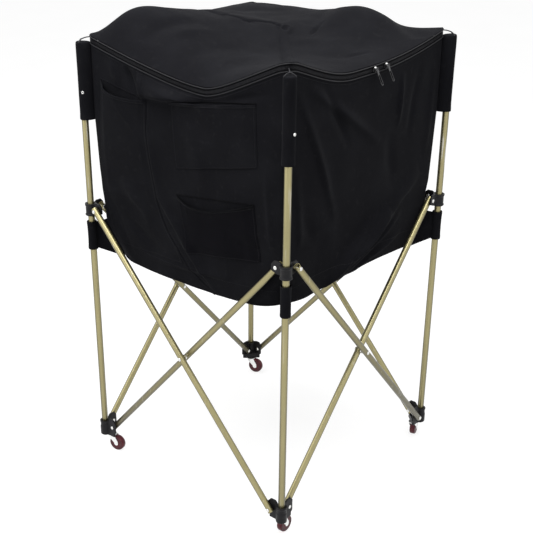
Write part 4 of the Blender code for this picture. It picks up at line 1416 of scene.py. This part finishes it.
# The upper sleeves
# A narrow pocket of doubled cloth at each corner slips over the top of its leg and is riveted through it. It
# is closed at the top, pinched where it is sewn to the bag's corner, and hemmed at the bottom.
SLEEVE_WAVE = 0.0007


def corner_sleeve(name, outline, levels, closed, thickness):
    """A cloth tube round a leg: an outline drawn up through levels of its share of size and height."""
    share, height = levels[0]
    piece = begin(name, bpy.ops.mesh.primitive_circle_add, vertices=len(outline), radius=1)
    for point, (along, across) in zip(piece.data.vertices, outline):
        point.co = (along * share, across * share, height)
    bpy.ops.object.mode_set(mode="EDIT")
    bpy.ops.mesh.select_all(action="SELECT")
    raised(levels)
    if closed:
        bpy.ops.mesh.edge_face_add()
    faced_out()
    for point in piece.data.vertices:
        across = Vector((point.co.x, point.co.y, 0)).normalized()
        wave = noise.noise(Vector((across.x * 1.3, across.y * 1.3, point.co.z * 22)))
        point.co += across * SLEEVE_WAVE * wave
    piece.data.transform(inwards)
    settle(piece, "SOLIDIFY", thickness=thickness, offset=-1.0)
    settle(piece, "SUBSURF", levels=1, render_levels=1)
    smooth(piece, 60)
    return piece


# At the front right corner, the way in to the bag's corner, given along X here.
inwards = Matrix.Rotation(math.radians(135), 4, "Z")
SLEEVE_CLOTH = 0.0012
SLEEVE_SIDES = 32
SLEEVE_HIGH_Z = (0.898, 1.076)
SLEEVE_OUT, SLEEVE_ACROSS = 0.011, 0.0138
SEAM_LAP = 0.0018
sleeve_reach = (half - RIM_HALF) * math.sqrt(2) + (math.sqrt(2) - 1) * EDGE_RADIUS + SEAM_LAP
circle = arc(0, 0, 1, 180 / SLEEVE_SIDES, 360 - 180 / SLEEVE_SIDES, SLEEVE_SIDES - 1)
outline = []
for along, across in circle:
    ahead = max(0.0, along)
    reach = sleeve_reach if ahead else SLEEVE_OUT
    outline.append((along * reach, across * SLEEVE_ACROSS * (1 - 0.25 * ahead**3)))
low, high = SLEEVE_HIGH_Z
levels = [(1.0, low), (1.03, low + 0.0015), (1.03, low + 0.010), (0.98, low + 0.0115)]
levels += [(0.98, low + 0.0115 + step * (high - low - 0.020) / 9) for step in range(1, 10)]
levels += [(0.96, high - 0.0040), (0.88, high - 0.0012), (0.70, high)]
upper = corner_sleeve("upper", outline, levels, True, SLEEVE_CLOTH)
# The rivets were set by hand, each at its own turn.
EYELET_Z = 0.963
EYELET_TURNS = {"front_left": 43, "front_right": 7, "back_right": -2, "back_left": 10}
# The front right leg holds its sleeve a little high.
SLEEVE_LIFTS = {"front_right": 0.009}
TIE_RADIUS, TIE_ARCH = 0.0013, 0.0015
eyelet_levels = [(0.0012, 0.0006), (0.0014, 0.0012), (0.0024, 0.0016), (0.0033, 0.0010), (0.0035, 0.0)]
eyelet_levels += [(0.0035, -0.0008), (0.0012, -0.0008)]
eyelet = stacked("eyelet", 24, eyelet_levels[::-1], filled=False)
smooth(eyelet, 60)
for corner in CORNERS:
    lifted = Matrix.Translation((0, 0, SLEEVE_LIFTS.get(corner, 0.0))) @ at_corner(corner)
    made = copied(upper, f"sleeve_upper_{corner}", lifted)
    dress(made, fabric, f"frame_{corner}", "bag_cloth", f"upper_sleeve_{corner}")
    for label, way, look in (("bright", 0, steel), ("dark", 180, plastic)):
        stand = lifted @ Matrix.Rotation(math.radians(way + EYELET_TURNS[corner]), 4, "Z")
        stand @= Matrix.Translation((SLEEVE_ACROSS * 0.98, 0, EYELET_Z))
        cap = copied(eyelet, f"eyelet_{corner}_{label}", stand @ Matrix.Rotation(math.pi / 2, 4, "Y"))
        dress(cap, look, f"frame_{corner}", "zinc")
    # Three bound edges meet over the sleeve's top: one from the bag's corner, and one down to each side.
    tie_top = Vector((0.004, 0, high + 0.005))
    ends = [Vector((sleeve_reach + 0.001, 0, high + 0.009)), Vector((-0.002, 0.0125, high - 0.002))]
    ends.append(Vector((-0.002, -0.0125, high - 0.002)))
    for number, end in enumerate(ends):
        line = []
        for step in range(9):
            arch = TIE_ARCH * math.sin(math.pi * step / 8)
            line.append(tie_top.lerp(end, step / 8) + Vector((0, 0, arch)))
        tie = beading(f"sleeve_tie_{corner}_{number}", line, TIE_RADIUS)
        tie.data.transform(lifted @ inwards)
        dress(tie, satin, f"frame_{corner}", "bag_cloth")
for part in (upper, eyelet):
    bpy.data.objects.remove(part)


# The lower sleeves
# A short loop of the cloth goes round each leg below the sliding hub, and a web of it runs in to the bag's
# drawn-in bottom corner and holds the bag down.
SLEEVE_LOW_Z = (0.576, 0.648)
SLEEVE_LOW_RADIUS = 0.0118
outline = [(along * SLEEVE_LOW_RADIUS, across * SLEEVE_LOW_RADIUS) for along, across in circle]
low, high = SLEEVE_LOW_Z
levels = [(1.0, low), (1.04, low + 0.001), (1.04, low + 0.009), (1.0, low + 0.010)]
levels += [(1.0, low + 0.010 + step * (high - low - 0.020) / 4) for step in range(1, 5)]
levels += [(1.04, high - 0.009), (1.04, high - 0.001), (1.0, high)]
lower = corner_sleeve("lower", outline, levels, False, SLEEVE_CLOTH)
# How far the web is sewn on below the bag's bottom corner.
WEB_DROP = 0.018
WEB_MARGIN = 0.002
WEB_THICKNESS = 0.0020


def web_point(u, v):
    """A place on the web, out from the leg and up it, for the front right corner at the origin."""
    z_leg = low + WEB_MARGIN + v * (high - low - 2 * WEB_MARGIN)
    z_bag = WALL_BOTTOM_Z - WEB_DROP + v * (high + 0.004 - WALL_BOTTOM_Z + WEB_DROP)
    z = z_leg + u * (z_bag - z_leg)
    corner_at = wall_distance(z) - corner_radius(z) * (1 - math.sqrt(0.5))
    reach = (half - corner_at) * math.sqrt(2) + WEB_MARGIN
    distance = SLEEVE_LOW_RADIUS - 0.001 + u * (reach - SLEEVE_LOW_RADIUS + 0.001)
    bow = 0.0016 * math.sin(math.pi * u) * math.sin(3 + 9 * v)
    return inwards @ Vector((distance, bow, z))


for corner in CORNERS:
    made = copied(lower, f"sleeve_lower_{corner}", at_corner(corner))
    dress(made, fabric, f"frame_{corner}", "bag_cloth", f"lower_sleeve_{corner}")
    web = cloth(f"web_{corner}", 16, 18, 0.06, 0.08, web_point, WEB_THICKNESS)
    web.data.transform(at_corner(corner))
    dress(web, fabric, f"frame_{corner}", "bag_cloth")
bpy.data.objects.remove(lower)


# The zip sliders and pulls
# Two cast metal sliders meet on the right side, lacquered black and a little worn, with a small bright steel
# dome on top of each as a painted highlight. Each has a bridge that holds a long flat pull with a slot in it,
# and the pulls hang down over the wall.
SLIDER_LENGTH, SLIDER_DEPTH, SLIDER_HEIGHT = 0.013, 0.0042, 0.009
BAR_RADIUS, BAR_REACH = 0.0009, 0.0034
LUG_RADIUS, BRIDGE_REACH = 0.0009, 0.0046
PULL_LENGTH, PULL_WIDTH, PULL_THICKNESS, PULL_HANG = 0.034, 0.0078, 0.0018, 28
slider = begin(
    "slider",
    bpy.ops.mesh.primitive_cube_add,
    size=1,
    scale=(SLIDER_DEPTH, SLIDER_LENGTH, SLIDER_HEIGHT),
    location=(SLIDER_DEPTH / 2, 0, 0),
)
bpy.ops.object.mode_set(mode="EDIT")
bpy.ops.mesh.select_all(action="SELECT")
bpy.ops.mesh.subdivide(number_cuts=3)
bpy.ops.object.mode_set(mode="OBJECT")
for point in slider.data.vertices:
    share = abs(point.co.y) / (SLIDER_LENGTH / 2)
    point.co.z *= 1 - 0.30 * share**2
    point.co.x -= 0.0012 * share**2 * (point.co.x / SLIDER_DEPTH)
settle(slider, "BEVEL", width=0.0005, segments=2, limit_method="ANGLE", angle_limit=math.radians(40))
smooth(slider, 50)
lug_at = PULL_WIDTH / 2 + FIT + LUG_RADIUS
bridge_x, bridge_rise = SLIDER_DEPTH - 0.0008, SLIDER_HEIGHT / 2 - 0.0006
lugs = []
for y in (-lug_at, lug_at):
    arched = arc(0, 0, 1, 0, 180, 24)
    bridge = [Vector((bridge_x + BRIDGE_REACH * out, y, bridge_rise * up)) for up, out in arched]
    lugs.append(beading("lug", bridge, LUG_RADIUS))
bar_x = SLIDER_DEPTH + BAR_REACH
bar = beading("bar", [Vector((bar_x, -lug_at, 0)), Vector((bar_x, lug_at, 0))], BAR_RADIUS)

rounds = arc(0, 0, 1, 0, 180, 32)
half_pull = PULL_WIDTH / 2
tab = [(half_pull * x * 0.86, 0.0032 * y) for x, y in rounds]
tab += [(-half_pull * x, -PULL_LENGTH + half_pull - half_pull * y) for x, y in rounds]
pull = plate("pull", tab, -PULL_THICKNESS / 2, PULL_THICKNESS / 2, Matrix.Identity(4))
slot_half = half_pull - 0.0016
slot_shape = [(slot_half * x, -0.0130 + slot_half * y) for x, y in rounds]
slot_shape += [(-slot_half * x, -PULL_LENGTH + half_pull - slot_half * y) for x, y in rounds]
slot = plate("slot", slot_shape, -0.01, 0.01, Matrix.Identity(4))
settle(pull, "BOOLEAN", object=slot, operation="DIFFERENCE", solver="EXACT")
settle(pull, "BEVEL", width=0.0004, segments=2, limit_method="ANGLE", angle_limit=math.radians(40))
smooth(pull, 50)
# The pull's width lies along Y and its length down Z.
pull.data.transform(to_y)
pull.data.transform(Matrix.Rotation(math.radians(-PULL_HANG), 4, "Y"))

lacquer = Finish("black_lacquer", {"Coat Weight": 0.4, "Coat Roughness": 0.15})
rub = lacquer.between(lacquer.grain(900.0, 3.0), 0.58, 0.78)
lacquer.give(
    {
        "Base Color": lacquer.mix(rub, (0.020, 0.020, 0.022), (0.20, 0.20, 0.20)),
        "Metallic": 0.55 + 0.45 * rub,
        "Roughness": 0.20 + 0.12 * rub,
        "Normal": lacquer.bump(rub, 0.0001, 0.4),
    }
)
# A small bright steel dome on top of each slider is a painted highlight, put where light glints on it.
highlight_dome_levels = [(0.0022, 0.0), (0.0030, 0.0004), (0.0028, 0.0016), (0.0018, 0.0026), (0.0006, 0.0030)]
highlight_dome = stacked("highlight_dome", 16, highlight_dome_levels)
highlight_dome.data.transform(Matrix.Translation((0.0026, 0, SLIDER_HEIGHT / 2 - 0.0006)))
smooth(highlight_dome, 60)
slider_face = RIM_HALF + TAPE_OUT + FIT
for label, s in SLIDER_PLACES.items():
    stand = Matrix.Translation((slider_face, s, rim_height("right", s) + BAND_HEIGHT / 2))
    body = f"zip_slider_{label}"
    made = copied(slider, f"slider_body_{label}", stand)
    dress(made, lacquer, body, "pull_metal", f"slider_{label}")
    for number, lug in enumerate(lugs):
        dress(copied(lug, f"slider_lug_{label}_{number}", stand), lacquer, body, "pull_metal")
    dress(copied(bar, f"slider_bar_{label}", stand), lacquer, body, "pull_metal")
    dress(copied(highlight_dome, f"slider_nose_{label}", stand), steel, body, "pull_metal")
    hung = copied(pull, f"pull_tab_{label}", stand @ Matrix.Translation((bar_x, 0, 0)))
    dress(hung, lacquer, f"zip_pull_{label}", "pull_metal", f"pull_{label}")
for part in (slider, *lugs, bar, highlight_dome, pull, slot):
    bpy.data.objects.remove(part)
